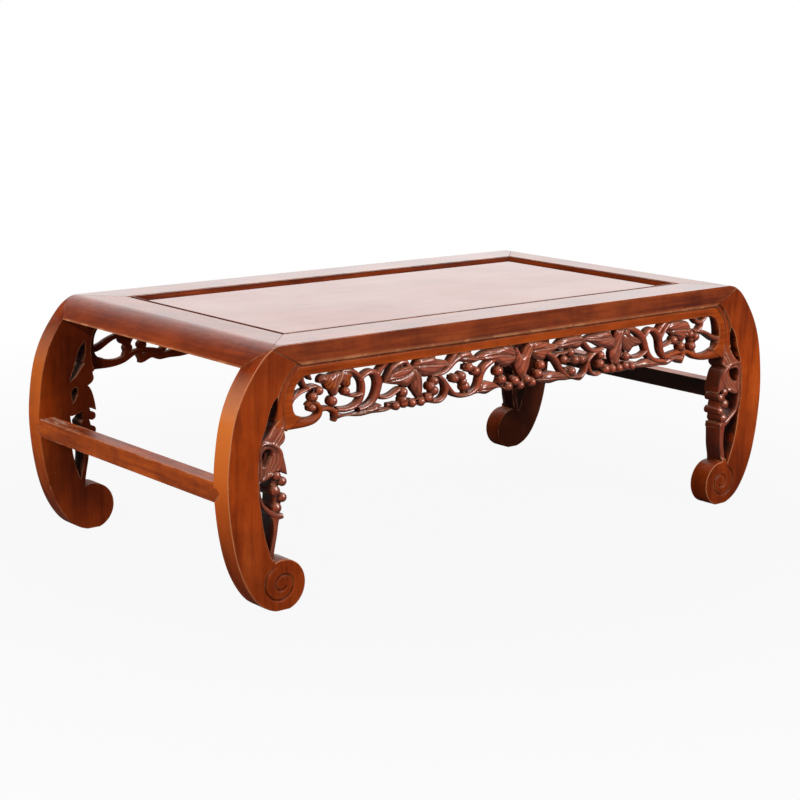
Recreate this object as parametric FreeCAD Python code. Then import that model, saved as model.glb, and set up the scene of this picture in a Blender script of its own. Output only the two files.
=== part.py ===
import FreeCAD, Part
import math
import os

os.makedirs("parts", exist_ok=True)

# A low kang table of joined hardwood: a mitred frame with a floating panel, C-shaped
# legs that end in scroll feet, pierced vine and grape aprons, and end stretchers.
# X is the length, Y the depth (the front is at -Y), Z is up from the floor.

# Overall sizes
table_length = 914.0          # over the bulge of the legs
table_depth = 461.0           # over the front and back faces
table_height = 312.0

# Top frame and panel
rail_height = 26.5
long_rail_width = 62.7
end_rail_reach = 123.8        # from the bulge of the legs in to the panel opening
edge_round = 1.5
panel_drop = 7.0              # the panel lies this far below the frame
panel_thickness = 10.0
panel_tongue = 5.0
groove_depth = 8.0
panel_play = 1.0              # room for the panel to swell in its groove
rebate_margin = 3.0
shoulder_drop = 1.5           # from the panel's face down to its tongue
shoulder_gap = 0.4            # between the panel's face and the frame

# Frame tenons, in the inner half of each long rail's end
frame_tenon_inset = 10.0
frame_tenon_width = 18.0
frame_tenon_thickness = 6.0
frame_tenon_lift = 4.0
frame_tenon_reach = 40.0      # its end, measured out from the panel opening

# Battens that are dovetailed into the panel and tenoned into the long rails
batten_place = 125.0          # from the middle of the table
batten_width = 24.0
batten_neck = 12.0
batten_dovetail = 15.0
dovetail_depth = 3.0
batten_tenon_length = 10.0
batten_tenon_thickness = 5.0

# Legs
leg_thickness = 29.0
leg_reach = 81.0              # from the bulge in to the end of the apron
scroll_radius = 31.0
foot_flat = 18.0              # the flat that each foot stands on
leg_tenon_width = 14.0
leg_tenon_thickness = 10.0
leg_tenon_height = 14.0
leg_tenon_inset = 18.0        # from the apron's top corner to the tenon's middle
leg_tenon_margin = 8.0        # from the leg's inner face to the tenon's middle

# Stretchers between the legs of each end
stretcher_level = 147.0       # its middle, above the floor
stretcher_height = 24.0
stretcher_width = 22.0
shoulder_point = 12.0         # how far the pointed shoulder runs into the leg
shoulder_thickness = 7.0
stretcher_tenon_width = 9.0
stretcher_tenon_height = 14.0
stretcher_tenon_length = 20.0

# Aprons
apron_height = 74.5
apron_thickness = 12.0
apron_setback = 2.0           # behind the face of the rail and the legs
apron_tongue_height = 3.0
apron_tongue_thickness = 5.0
apron_tenon_length = 6.0
apron_tenon_height = 24.0

# Places that follow from the sizes
half_length = table_length / 2
half_depth = table_depth / 2
rail_bottom = table_height - rail_height
apron_bottom = rail_bottom - apron_height
apron_half = half_length - leg_reach
opening_half_length = half_length - end_rail_reach
opening_half_depth = half_depth - long_rail_width
panel_top = table_height - panel_drop
panel_bottom = panel_top - panel_thickness
tongue_top = panel_top - shoulder_drop
tongue_bottom = tongue_top - panel_tongue
leg_inner_face = half_depth - leg_thickness

# Outlines are drawn in shares of the table, seen from the front: 457 shares make its
# half length and 312 its height. The bands between these knots stretch on their own.
half_length_share = 457.0
apron_half_share = 376.0
top_share = 312.0
rail_bottom_share = 285.5
apron_bottom_share = 211.0


def along(share):
    """Place along X of a share of the half length."""
    size = abs(share)
    if size <= apron_half_share:
        place = size / apron_half_share * apron_half
    else:
        beyond_share = (size - apron_half_share) / (half_length_share - apron_half_share)
        place = apron_half + beyond_share * leg_reach
    return place if share >= 0 else -place


def level(share):
    """Height above the floor of a share of the height."""
    if share <= apron_bottom_share:
        return share / apron_bottom_share * apron_bottom
    if share <= rail_bottom_share:
        carved_share = (share - apron_bottom_share) / (rail_bottom_share - apron_bottom_share)
        return apron_bottom + carved_share * apron_height
    return rail_bottom + (share - rail_bottom_share) / (top_share - rail_bottom_share) * rail_height


def spot(x_share, z_share):
    return FreeCAD.Vector(along(x_share), 0, level(z_share))


# The outer curve of a leg, from the flat top round the bulge to the foot's flat
outer_curve_shares = [
    (374, 312), (389.6, 310.2), (399.5, 305.5), (419.2, 285.5), (431.6, 267.6), (447.3, 231.7),
    (454.2, 196.3), (457, 163), (455.3, 126.4), (450.4, 91.9), (441.6, 58), (425.6, 25.8), (412, 10.4),
    (400, 3.2), (390, 0)]

# The end of an apron, from the rail down, where the leg and the apron meet
apron_end_shares = [
    (354, 285.5), (361, 281), (367.5, 274.5), (373, 265.5), (377, 255), (379, 243), (378, 230),
    (376, 218), (374, 211)]

# The plain inner edge of the leg's C, from the scroll up to the corner
inner_curve_shares = [
    (396, 62), (399, 70), (404, 84), (409, 104.6), (412.3, 128), (415.2, 151.3), (414.2, 179.4),
    (410, 207), (405.4, 217.5), (398.5, 239), (388, 253.5)]

# The bracket of a leg. A closed outline runs through its points, and one that is given
# twice is a sharp corner. A ribbon's third value is its width.
corner_outline_shares = {
    "corner web": [
        (354, 285.5), (354, 285.5), (361, 281), (367.5, 274.5), (373, 265.5), (377, 255),
        (379, 243), (378, 230), (376, 218), (376, 218), (390, 226), (390, 226), (387, 240),
        (388, 253.5), (388, 253.5), (400, 275), (400, 285.5), (400, 285.5)],
    "fan leaf": [
        (379, 230), (379, 230), (389, 223), (396, 215), (410, 203), (410, 203), (402, 197),
        (390, 193), (382, 195.5), (377.5, 199), (375.5, 205), (376.5, 212), (374, 213), (374, 213)]}
bracket_outline_shares = {
    "curled leaf": [
        (412, 202), (412, 202), (400, 200.5), (390, 197.5), (382, 191), (378, 182), (375, 170),
        (373.5, 160), (373.5, 160), (384, 164), (392, 162), (402, 158), (414, 157), (414, 157),
        (415, 170), (414, 186)]}
bracket_ribbon_shares = {
    "vine border": [
        (413, 196, 5), (414.5, 180, 5), (414.5, 160, 5), (412.5, 143, 5), (408.5, 130.5, 5.5),
        (402, 122.5, 6), (394, 116, 7), (386, 112.5, 8), (379, 112, 6)],
    "bunch stalk": [(388, 163, 8), (389, 150, 9), (386, 136, 9), (388, 122, 9), (390, 112, 9)]}
bracket_grape_shares = [
    (388, 160.5, 5.5), (380, 153, 5.6), (390, 143, 6.4), (380, 134, 5.5), (388, 122.5, 6.4)]
leaf_hollow_shares = [
    (406.5, 192), (401.5, 193.5), (399.5, 187), (402.5, 179), (407, 173.5), (408.5, 182)]
stem_shares = {
    "left": [
        (389, 113, 13), (389, 104, 7.5), (390, 93, 6), (392.5, 81, 6), (395, 70, 7), (396, 56, 8)],
    "right": [
        (383, 116, 14), (382, 104, 10), (382, 93, 8.5), (383, 81, 8), (385.5, 70, 8), (387, 56, 9)]}
# The carver let the right-hand brackets reach further in, below their corners
bracket_lean_shares = {"left": 0.5, "right": 3.5}
bracket_root_share = 403.0    # points further out than this stay with the C

# The aprons' carving, seen from the front, left to right
apron_band_shares = [
    (0, 273), (-344, 273), (-351, 271), (-358, 266), (-363, 258.5), (-365.5, 249), (-365.5, 239),
    (-363.5, 231.5), (-359, 227), (-352, 225)]
leaf_shares = {
    "lobed leaf": [
        (-326, 262), (-325, 267), (-320, 270), (-311, 269), (-303, 272), (-293, 274), (-284, 272),
        (-277, 265), (-280, 260), (-280, 254), (-285, 250.5), (-290, 253), (-294, 256), (-297, 250),
        (-300, 244), (-305, 243), (-309, 249), (-314, 252), (-319, 259)],
    "trailing leaf": [
        (-304, 221), (-290, 219.5), (-276, 218.5), (-262, 220), (-250, 222.5), (-242, 225.5),
        (-232, 222), (-232, 222), (-237, 219.5), (-228, 218.5), (-216, 216.5), (-216, 216.5),
        (-228, 214), (-248, 214.5), (-264, 213.5), (-284, 216), (-294, 215.5), (-304, 216)],
    "eyed leaf": [
        (-231, 249.5), (-231, 249.5), (-227, 257), (-222, 265), (-217, 271), (-208, 274),
        (-198, 274), (-191, 269.5), (-185, 264), (-181, 258), (-182, 251), (-187, 245),
        (-192, 240.5), (-198, 239.5), (-204, 243), (-212, 245), (-222, 247)],
    "fold leaf left": [
        (-183, 264), (-176, 258), (-171, 250), (-169.5, 240), (-168.5, 222), (-168.5, 222),
        (-176, 224), (-182, 231), (-188, 240), (-185, 250)],
    "leaf pointing right": [
        (-185, 262), (-182, 268), (-177, 274), (-166, 274), (-154, 274), (-148, 269), (-138, 266.5),
        (-125, 260), (-125, 260), (-134, 256), (-142, 252), (-150, 249), (-160, 248.5),
        (-170, 249.5), (-178, 255)],
    "fold leaf over the bowl": [
        (-121, 262), (-117, 268), (-109, 274), (-96, 274), (-89, 267), (-83, 263.5), (-75, 259.5),
        (-75, 259.5), (-84, 257.5), (-94, 256.5), (-102, 259), (-111, 261)],
    "leaf under the bowl": [
        (-113, 217), (-100, 215.5), (-90, 216), (-80, 217.5), (-67, 215), (-54, 218.5),
        (-40, 219.5), (-40, 219.5), (-46, 224), (-56, 229), (-67, 231.5), (-76, 229), (-84, 221),
        (-98, 219.5)],
    "middle leaf left": [
        (-84, 261.5), (-84, 261.5), (-73, 269), (-62, 271.5), (-50, 272), (-40, 274), (-30, 274),
        (-21, 269), (-17, 261), (-17.5, 253), (-24, 248), (-33, 245.5), (-41, 247.5), (-50, 253),
        (-60, 254.5), (-71, 257.5)],
    "centre fold leaf": [
        (-17, 258), (-18, 249), (-14, 238), (-4, 224), (-4, 224), (1, 231), (6, 241), (9, 252),
        (15, 265), (17, 274), (17, 274), (4, 274), (-1, 266), (-6, 258), (-11, 265), (-17, 268)],
    "middle leaf right": [
        (8, 268), (12, 274), (22, 274), (33, 270.5), (45, 266.5), (59, 264), (59, 264), (53, 257.5),
        (45, 253.5), (37, 251.5), (32, 246), (26, 245.5), (17, 250), (9, 258)],
    "leaf at the foot": [
        (20, 221), (27, 218), (36, 216), (46, 215), (58, 216.5), (72, 215.5), (86, 215), (102, 213),
        (106, 217), (94, 220.5), (80, 221), (66, 226), (54, 229), (44, 230.5), (36, 228.5),
        (27, 230), (20, 226)],
    "small leaf over the grapes": [
        (53, 264.5), (60, 270), (70, 274), (94, 274), (101, 268), (103, 263), (96, 256.5),
        (88, 254.5), (78, 257), (64, 257.5), (56, 260)],
    "leaf pointing left": [
        (104, 266), (104, 266), (114, 270), (126, 272), (138, 274), (148, 274), (155, 267),
        (161, 259), (161, 251), (156, 247), (146, 249), (134, 252.5), (124, 257.5), (113, 261)],
    "fold leaf right": [
        (161, 274), (160, 262), (156, 249), (153, 242), (156, 231), (159, 224), (159, 224),
        (167, 223), (171, 232), (174, 244), (176, 258), (182, 274), (182, 274)],
    "lobed tip leaf": [
        (177, 272), (187, 270), (191, 263), (202, 258), (213, 251), (213, 251), (206, 246),
        (197, 245), (190, 239), (183, 240), (177, 246), (173, 256)],
    "crown leaf": [
        (259, 264), (264, 271), (274, 274), (288, 272), (300, 270), (307, 264), (309, 257.5),
        (302, 253), (298, 245), (292, 241), (285, 246), (275, 251), (267, 257)],
    "trailing leaf right": [
        (198, 221), (210, 223), (222, 226), (238, 222), (254, 220), (268, 224), (282, 225),
        (294, 222), (296, 212), (296, 212), (284, 214.5), (276, 217), (268, 214), (252, 214),
        (232, 214), (214, 215.5), (203, 217)]}
grape_points = 10             # that the outline of a grape runs through
leaf_eye_shares = [(-220, 261), (-214, 265), (-207, 267), (-199, 268.5), (-203, 264.5), (-211, 262)]
vine_shares = {
    "corner stem": [(-352, 275, 6), (-350, 266, 6), (-346, 260, 6), (-341, 255, 7)],
    "corner hook": [(-345, 275, 5), (-341, 270.5, 4), (-337.5, 266.5, 2.5)],
    "corner arc": [
        (-369, 243, 7), (-361, 248.5, 5.5), (-354, 252.5, 5), (-346, 255, 5), (-338, 257.5, 5),
        (-330, 257, 6), (-324, 251, 6.5)],
    "corner scroll": [
        (-372, 218, 14), (-358, 218, 14), (-345, 217, 11), (-334, 218, 9), (-326, 223.5, 8),
        (-325, 231, 7.5), (-329, 236.5, 7), (-336, 238, 6.5), (-341, 235, 5)],
    "leaf curl": [
        (-325, 229, 6), (-316, 229.5, 6), (-307, 227, 6.5), (-301.5, 221.5, 6), (-302, 215.5, 4),
        (-304, 213, 3)],
    "ring": [
        (-292, 271, 7), (-280, 270, 7), (-271, 265, 7), (-264, 257.5, 7), (-261.5, 248, 7),
        (-263, 238, 7), (-268, 230, 7), (-277, 225.5, 6.5), (-288, 224.5, 6.5), (-300, 226, 6.5)],
    "ring stem": [(-288, 244, 6), (-280, 240.5, 4.5), (-272, 239, 4.5), (-262, 241, 5)],
    "crescent": [
        (-266, 257, 5), (-258, 263, 6.5), (-249, 264.5, 8), (-241, 260, 10), (-237.5, 250, 10.5),
        (-240, 239.5, 9.5), (-246, 230, 8.5), (-256, 224, 7), (-268, 222, 6)],
    "eyed leaf stem": [(-240, 260, 8), (-234, 267, 7.5), (-226, 274, 8)],
    "grape stem": [
        (-240, 235, 5), (-231, 231.5, 5), (-222, 232, 5), (-214, 235, 5), (-207, 238, 5.5),
        (-200, 236, 7)],
    "grape row left": [(-223, 220.5, 6), (-208, 220, 7), (-186, 219.5, 7), (-158, 220, 7)],
    "double stem": [(-150, 249, 5), (-138, 250.5, 6), (-129, 255, 7.5), (-120, 262, 8), (-112, 266, 8)],
    "double stem back": [(-130, 258, 5), (-124, 266, 6), (-116, 274, 7)],
    "lower ring": [
        (-152, 247.5, 6), (-143, 245.5, 6.5), (-136, 240, 7), (-132, 231, 7), (-134, 222.5, 7),
        (-142, 216.5, 6), (-152, 217, 6), (-160, 220, 7)],
    "bowl vine": [
        (-136, 241, 6), (-128, 231, 6.5), (-120, 222.5, 6.5), (-110, 218.5, 6), (-98, 218, 5.5),
        (-88, 220.5, 6.5), (-80.5, 226, 8), (-77, 234, 9), (-74.5, 242, 9.5), (-69, 249, 9),
        (-61, 254, 8), (-54, 257, 8)],
    "grape row middle": [
        (-47, 229, 7), (-37, 223, 7), (-27, 220, 6.5), (-17, 222, 6.5), (-8, 220, 6.5),
        (3, 222, 6.5), (13, 221, 7), (22, 227, 7), (27, 238, 6.5)],
    "falling vine": [
        (38, 255, 7), (46, 250.5, 7.5), (54, 243.5, 8), (60.5, 235, 8), (66, 227.5, 7),
        (74, 221.5, 6), (86, 218.5, 5.5), (100, 217, 5)],
    "tendril": [(50, 249, 4), (57, 252, 3.5), (66, 252, 3.5), (76, 252.5, 5)],
    "long vine": [
        (96, 269, 8), (103, 261.5, 7.5), (110, 255, 7), (117, 250, 6.5), (126, 248, 6.5),
        (138, 249.5, 6)],
    "bowl vine right": [
        (130, 247.5, 6), (120, 243.5, 6.5), (113, 237.5, 7), (109.5, 229.5, 6.5), (106, 222, 6),
        (99, 217, 5.5)],
    "small bowl": [(112, 236, 6), (114, 227, 5.5), (119, 219.5, 5), (127, 216.5, 5), (135, 218, 5)],
    "grape row right": [
        (128, 231, 7), (137, 227, 7), (146, 221.5, 7), (160, 219.5, 7), (178, 219.5, 7),
        (200, 219, 7)],
    "hoop": [
        (180, 272, 6), (192, 270, 7.5), (201, 266.5, 9), (210, 260.5, 10), (217, 252, 10),
        (221.5, 242, 9), (226, 233, 8.5), (234, 225.5, 7.5), (245, 221, 7), (258, 219, 6.5)],
    "hoop stem": [
        (186, 233, 5), (196, 231.5, 4.5), (206, 231.5, 4.5), (215, 233.5, 4.5), (222, 238, 5)],
    "crescent right": [
        (218, 258, 6), (224, 264, 7), (232, 265, 7.5), (241, 260.5, 9), (247.5, 252, 9),
        (249.5, 242, 8.5), (252.5, 233, 8), (259, 226, 7), (268, 222, 6)],
    "crown stem": [(244, 260, 8), (250, 267, 8), (260, 274, 8)],
    "crown stem inner": [(250, 254, 6), (256, 262, 6), (264, 269, 7)],
    "hanging stem": [(250, 240, 5), (260, 241.5, 4.5), (269, 244, 5), (277, 246, 6)],
    "corner scroll right": [
        (372, 218, 14), (357, 218, 14), (344, 216.5, 11), (330, 217, 9), (317, 220.5, 8),
        (306, 226, 7), (296, 228.5, 6.5), (284, 228.5, 6), (271, 227, 5.5), (259, 224, 5)],
    "corner scroll curl": [(297, 228, 8), (294, 221, 8), (292, 215, 5)],
    "corner arc right": [
        (300, 256, 6), (312, 255.5, 5.5), (323, 253.5, 5.5), (334, 251.5, 6), (344, 247.5, 7),
        (354, 242, 8), (366, 238, 8)],
    "corner stem right": [
        (313, 275, 5), (319, 268.5, 5.5), (327, 265.5, 6.5), (335, 269, 6), (341, 275, 6)],
    "corner drop right": [(331, 265, 6), (329, 258.5, 5.5), (323, 254, 5)],
    "twig right": [(300, 252, 7), (309, 247, 7), (313, 239, 7), (315, 229, 7), (318, 222, 6)]}
grape_shares = [
    (-334, 245.5, 5.6), (-326, 252, 5.6), (-336, 233, 5), (-287, 246.5, 5), (-306, 237, 6),
    (-200, 234, 6.4), (-200, 225, 5.5), (-211, 218.7, 5.2), (-199, 220.5, 5.8),
    (-186, 219.2, 5.6), (-172, 219.2, 5.6), (-151, 242, 5.8), (-151, 230, 6), (-160, 222, 6),
    (-157, 236, 5.5), (-118, 241, 5.8), (-107, 242.5, 6.2), (-95, 252, 6), (-84, 246, 6),
    (-101, 229, 6.4), (-105, 236, 5), (-46, 241.5, 6.4), (-40, 230, 6.4), (-28.5, 219.8, 5.8),
    (-17, 225.5, 6.2), (-8, 219, 5.6), (3, 225.5, 5.4), (12, 220.5, 6), (23, 230, 6.4),
    (27, 241, 6.4), (68, 243, 6.4), (80, 251, 6.6), (89, 240, 6.2), (100, 239.5, 6),
    (83, 226, 6.4), (135, 241.5, 5.8), (135, 230, 6.4), (146, 221.5, 6.2), (158, 220.5, 6.2),
    (171, 220, 5.8), (183, 221.5, 5.8), (195, 219.5, 5.4), (184, 234, 6.2), (276, 246, 6.2),
    (291, 236, 6.4), (309, 251, 5.6), (320, 246.5, 6.4), (313, 234, 6.4)]
link_shares = [
    (-125, 243, -116, 241, 6), (-103, 253, -93, 252, 7), (-95, 250, -84, 246, 6), (-84, 246, -76, 243, 6),
    (-101, 226, -99, 218, 6), (-46, 242, -40, 252, 7), (-43, 237, -41, 232, 7), (27, 241, 27, 250, 7),
    (66, 246, 66, 253, 4), (80, 251, 80, 259, 7), (70, 243, 90, 240, 6), (89, 240, 112, 240, 5),
    (83, 226, 80, 218, 7), (72, 229, 83, 227, 7), (135, 241, 136, 250, 6), (133, 236, 134, 228, 6),
    (135, 236, 135, 242, 6), (176, 238, 184, 234, 7), (276, 246, 280, 252, 7), (286, 243, 291, 236, 7),
    (291, 236, 291, 228, 7), (320, 246, 316, 254, 6), (320, 246, 313, 236, 6), (-157, 236, -152, 230, 7),
    (-151, 242, -152, 250, 6), (-157, 222, -152, 230, 6), (-334, 245, -331, 256, 6),
    (-306, 237, -304, 229, 6), (-200, 234, -200, 241, 7), (-200, 228, -200, 222, 7)]


def curved_edges(points):
    """Edges through the points of a closed outline, which turn sharply at a point given twice."""
    corners = [i for i in range(len(points)) if points[i] == points[i - 1]]
    if not corners:
        curve = Part.BSplineCurve()
        curve.interpolate(Points=[spot(*point) for point in points], PeriodicFlag=True)
        return [curve.toShape()]
    turned = points[corners[0]:] + points[:corners[0]]
    stretches = [[turned[0]]]
    for point in turned[1:]:
        if point == stretches[-1][-1]:
            stretches.append([point])
        else:
            stretches[-1].append(point)
    if stretches[-1][-1] != turned[0]:
        stretches[-1].append(turned[0])
    edges = []
    for stretch in stretches:
        if len(stretch) > 1:
            edges.append(open_edge([spot(*point) for point in stretch]))
    return edges


def open_edge(places):
    if len(places) == 2:
        return Part.makeLine(places[0], places[1])
    curve = Part.BSplineCurve()
    curve.interpolate(Points=places)
    return curve.toShape()


def outline_face(points):
    return Part.Face(Part.Wire(Part.__sortEdges__(curved_edges(points))))


def ribbon_face(points):
    """A strip that follows the points, as wide at each as its third value says."""
    centre = Part.BSplineCurve()
    middles = [FreeCAD.Vector(x_share, 0, z_share) for x_share, z_share, width_share in points]
    centre.interpolate(Points=middles)
    left, right = [], []
    for middle, (x_share, z_share, width_share) in zip(middles, points):
        along_vine = centre.tangent(centre.parameter(middle))[0]
        across = along_vine.cross(FreeCAD.Vector(0, 1, 0)) * (width_share / 2)
        left.append(spot(middle.x + across.x, middle.z + across.z))
        right.append(spot(middle.x - across.x, middle.z - across.z))
    edges = [open_edge(left), Part.makeLine(left[-1], right[-1]),
             open_edge(right[::-1]), Part.makeLine(right[0], left[0])]
    return Part.Face(Part.Wire(edges))


def grape_face(x_share, z_share, radius_share):
    ring = []
    for step in range(grape_points):
        angle = 2 * math.pi * step / grape_points
        ring.append((x_share + radius_share * math.cos(angle), z_share + radius_share * math.sin(angle)))
    return outline_face(ring)


def joined(solids):
    """The union of overlapping solids, at once or else each with its neighbour first."""
    together = solids[0].multiFuse(solids[1:])
    if together.isValid() and len(together.Solids) == 1:
        return together
    solids = sorted(solids, key=lambda solid: solid.BoundBox.Center.x)
    while len(solids) > 1:
        neighbours = [solids[i:i + 2] for i in range(0, len(solids), 2)]
        solids = [pair[0].fuse(pair[1]) if len(pair) > 1 else pair[0] for pair in neighbours]
    return solids[0]


def sawn_board(outlines, holes, front_y, thickness):
    """A board as thick as asked, sawn out along overlapping outlines."""
    run = FreeCAD.Vector(0, thickness, 0)
    solids = []
    for outline in outlines:
        outline.translate(FreeCAD.Vector(0, front_y, 0))
        solids.append(outline.extrude(run))
    board = one_solid(joined(solids))
    for hole in holes:
        hole.translate(FreeCAD.Vector(0, front_y, 0))
        board = one_solid(board.cut(hole.extrude(run)))
    return board


def box(low, high):
    """A block between two corners."""
    size = FreeCAD.Vector(*high) - FreeCAD.Vector(*low)
    return Part.makeBox(size.x, size.y, size.z, FreeCAD.Vector(*low))


def prism(places, run):
    """A polygon drawn out along a vector."""
    return Part.Face(Part.makePolygon(places + places[:1])).extrude(run)


def one_solid(shape):
    solids = shape.removeSplitter().Solids
    if len(solids) != 1:
        places = [str(solid.BoundBox) for solid in solids]
        raise ValueError("%d solids where one is wanted: %s" % (len(solids), places))
    return solids[0]


def outer_curve():
    curve = Part.BSplineCurve()
    curve.interpolate(Points=[spot(*point) for point in outer_curve_shares])
    return curve


def end_envelope():
    """Everything inside the outer curve of the right-hand legs, over the whole depth."""
    curve = outer_curve()
    top, foot = spot(*outer_curve_shares[0]), spot(*outer_curve_shares[-1])
    middle_top = FreeCAD.Vector(0, 0, top.z)
    middle_foot = FreeCAD.Vector(0, 0, foot.z)
    edges = [curve.toShape(), Part.makeLine(foot, middle_foot),
             Part.makeLine(middle_foot, middle_top), Part.makeLine(middle_top, top)]
    face = Part.Face(Part.Wire(edges))
    face.translate(FreeCAD.Vector(0, -half_depth, 0))
    return face.extrude(FreeCAD.Vector(0, table_depth, 0))


def leaned(points, lean_share):
    """The bracket's points, with those that are clear of the C moved in."""
    moved = []
    for point in points:
        x_share = point[0] if point[0] > bracket_root_share else point[0] - lean_share
        moved.append((x_share,) + tuple(point[1:]))
    return moved


def leg_board(side_name):
    """A front leg in the front view, with its bracket and scroll, on the right-hand side."""
    lean_share = bracket_lean_shares[side_name]
    top, foot = spot(*outer_curve_shares[0]), spot(*outer_curve_shares[-1])
    inner_places = [spot(*point) for point in inner_curve_shares]
    scroll_height = (scroll_radius ** 2 - (foot_flat / 2) ** 2) ** 0.5
    scroll_centre = FreeCAD.Vector(foot.x - foot_flat / 2, 0, scroll_height)
    corner = spot(*apron_end_shares[0])
    corner_top = FreeCAD.Vector(corner.x, 0, table_height)
    board = Part.Face(Part.Wire([
        outer_curve().toShape(), Part.makeLine(foot, scroll_centre),
        Part.makeLine(scroll_centre, inner_places[0]), open_edge(inner_places),
        Part.makeLine(inner_places[-1], corner), Part.makeLine(corner, corner_top),
        Part.makeLine(corner_top, top)]))
    scroll = Part.Face(Part.Wire([Part.makeCircle(scroll_radius, scroll_centre, FreeCAD.Vector(0, 1, 0))]))
    outlines = [board, scroll, ribbon_face(stem_shares[side_name])]
    outlines += [outline_face(points) for points in corner_outline_shares.values()]
    outlines += [outline_face(leaned(points, lean_share)) for points in bracket_outline_shares.values()]
    outlines += [ribbon_face(leaned(points, lean_share)) for points in bracket_ribbon_shares.values()]
    outlines += [grape_face(*grape) for grape in leaned(bracket_grape_shares, lean_share)]
    return sawn_board(outlines, [outline_face(leaf_hollow_shares)], -half_depth, leg_thickness)


def mitre_head():
    """What a leg keeps above the rails' underside: the corner below its mitre plane."""
    corner = spot(*apron_end_shares[0])
    inner_end = FreeCAD.Vector(corner.x, -half_depth, rail_bottom)
    curve = outer_curve()
    strip = spot(*outer_curve_shares[3])
    strip_end = FreeCAD.Vector(strip.x, -leg_inner_face, rail_bottom)
    mitre_x = opening_half_length + long_rail_width
    on_curve = curve.value(curve.parameter(FreeCAD.Vector(mitre_x, 0, table_height)))
    peak = FreeCAD.Vector(on_curve.x, -half_depth, on_curve.z)
    middle = (inner_end + strip_end) / 2
    far_share = 11
    low_left = inner_end * 2 - strip_end
    low_right = strip_end * 2 - inner_end
    high = middle + (peak - middle) * far_share
    low_far = FreeCAD.Vector(high.x, high.y, rail_bottom)
    corners = [low_left, low_right, low_far, high]
    faces = []
    for skipped in range(len(corners)):
        triangle = [corners[i] for i in range(len(corners)) if i != skipped]
        faces.append(Part.Face(Part.makePolygon(triangle + triangle[:1])))
    solid = Part.Solid(Part.Shell(faces))
    if solid.Volume < 0:
        solid.reverse()
    return solid


def front_leg(side_name):
    board = leg_board(side_name)
    below = box((0, -half_depth, 0), (table_length, 0, rail_bottom))
    tenon_x = along(apron_end_shares[0][0]) + leg_tenon_inset
    tenon_y = -leg_inner_face - leg_tenon_margin
    half_tenon = FreeCAD.Vector(leg_tenon_width / 2, leg_tenon_thickness / 2, leg_tenon_height)
    tenon_middle = FreeCAD.Vector(tenon_x, tenon_y, rail_bottom)
    tenon = box(tenon_middle - half_tenon, tenon_middle + half_tenon)
    whole = board.common(below).multiFuse([board.common(mitre_head()), tenon])
    return one_solid(whole.cut(apron_room()).cut(front_apron_joints()[-1]))


def right_stretcher():
    low = stretcher_level - stretcher_height / 2
    high = stretcher_level + stretcher_height / 2
    inner = half_length - stretcher_width
    bar = box((inner, -leg_inner_face, low), (half_length, leg_inner_face, high))
    pieces = [bar]
    for side in (-1, 1):
        face_y = side * leg_inner_face
        point = [FreeCAD.Vector(half_length, face_y, low),
                 FreeCAD.Vector(half_length, face_y + side * shoulder_point, stretcher_level),
                 FreeCAD.Vector(half_length, face_y, high)]
        pieces.append(prism(point, FreeCAD.Vector(-shoulder_thickness, 0, 0)))
        tenon_low = stretcher_level - stretcher_tenon_height / 2
        tenon_high = stretcher_level + stretcher_tenon_height / 2
        ends = sorted([face_y - side * shoulder_point, face_y + side * stretcher_tenon_length])
        tenon_outer = half_length - shoulder_thickness
        pieces.append(box((tenon_outer - stretcher_tenon_width, ends[0], tenon_low),
                          (tenon_outer, ends[1], tenon_high)))
    return one_solid(pieces[0].multiFuse(pieces[1:]).common(end_envelope()))


def apron_board(front_y):
    """An apron in the front view: its band, then the carving inside it."""
    half_end = [spot(*point) for point in apron_end_shares]
    inner = [spot(*point) for point in apron_band_shares]
    mirrored_inner = [FreeCAD.Vector(-place.x, 0, place.z) for place in inner]
    left_end = [FreeCAD.Vector(-place.x, 0, place.z) for place in half_end]
    bands = []
    for side_end, side_inner in ((half_end, mirrored_inner), (left_end, inner)):
        top_middle = FreeCAD.Vector(0, 0, rail_bottom)
        edges = [Part.makeLine(top_middle, side_end[0]), open_edge(side_end),
                 Part.makeLine(side_end[-1], side_inner[-1]), open_edge(side_inner[1:]),
                 Part.makeLine(side_inner[1], side_inner[0]), Part.makeLine(side_inner[0], top_middle)]
        bands.append(Part.Face(Part.Wire(Part.__sortEdges__(edges))))
    outlines = bands
    outlines += [outline_face(points) for points in leaf_shares.values()]
    outlines += [ribbon_face(points) for points in vine_shares.values()]
    outlines += [grape_face(*grape) for grape in grape_shares]
    outlines += [ribbon_face([(x1, z1, wide), (x2, z2, wide)]) for x1, z1, x2, z2, wide in link_shares]
    return sawn_board(outlines, [outline_face(leaf_eye_shares)], front_y, apron_thickness)


def front_apron_joints():
    """The front apron's tongue for the rail's groove, and its tenons for the two legs."""
    middle_y = -half_depth + apron_setback + apron_thickness / 2
    low_y = middle_y - apron_tongue_thickness / 2
    high_y = middle_y + apron_tongue_thickness / 2
    corner_x = along(apron_end_shares[0][0])
    tongue = box((-corner_x, low_y, rail_bottom - apron_tongue_height),
                 (corner_x, high_y, rail_bottom + apron_tongue_height))
    tenon_bottom = apron_bottom + apron_tenon_height / 2
    pieces = [tongue]
    for side in (-1, 1):
        ends = sorted([side * (apron_half - apron_tenon_length), side * (apron_half + apron_tenon_length)])
        low = (ends[0], low_y, tenon_bottom)
        pieces.append(box(low, (ends[1], high_y, tenon_bottom + apron_tenon_height)))
    return pieces


def front_apron():
    board = apron_board(-half_depth + apron_setback)
    return one_solid(board.multiFuse(front_apron_joints()))


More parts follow.
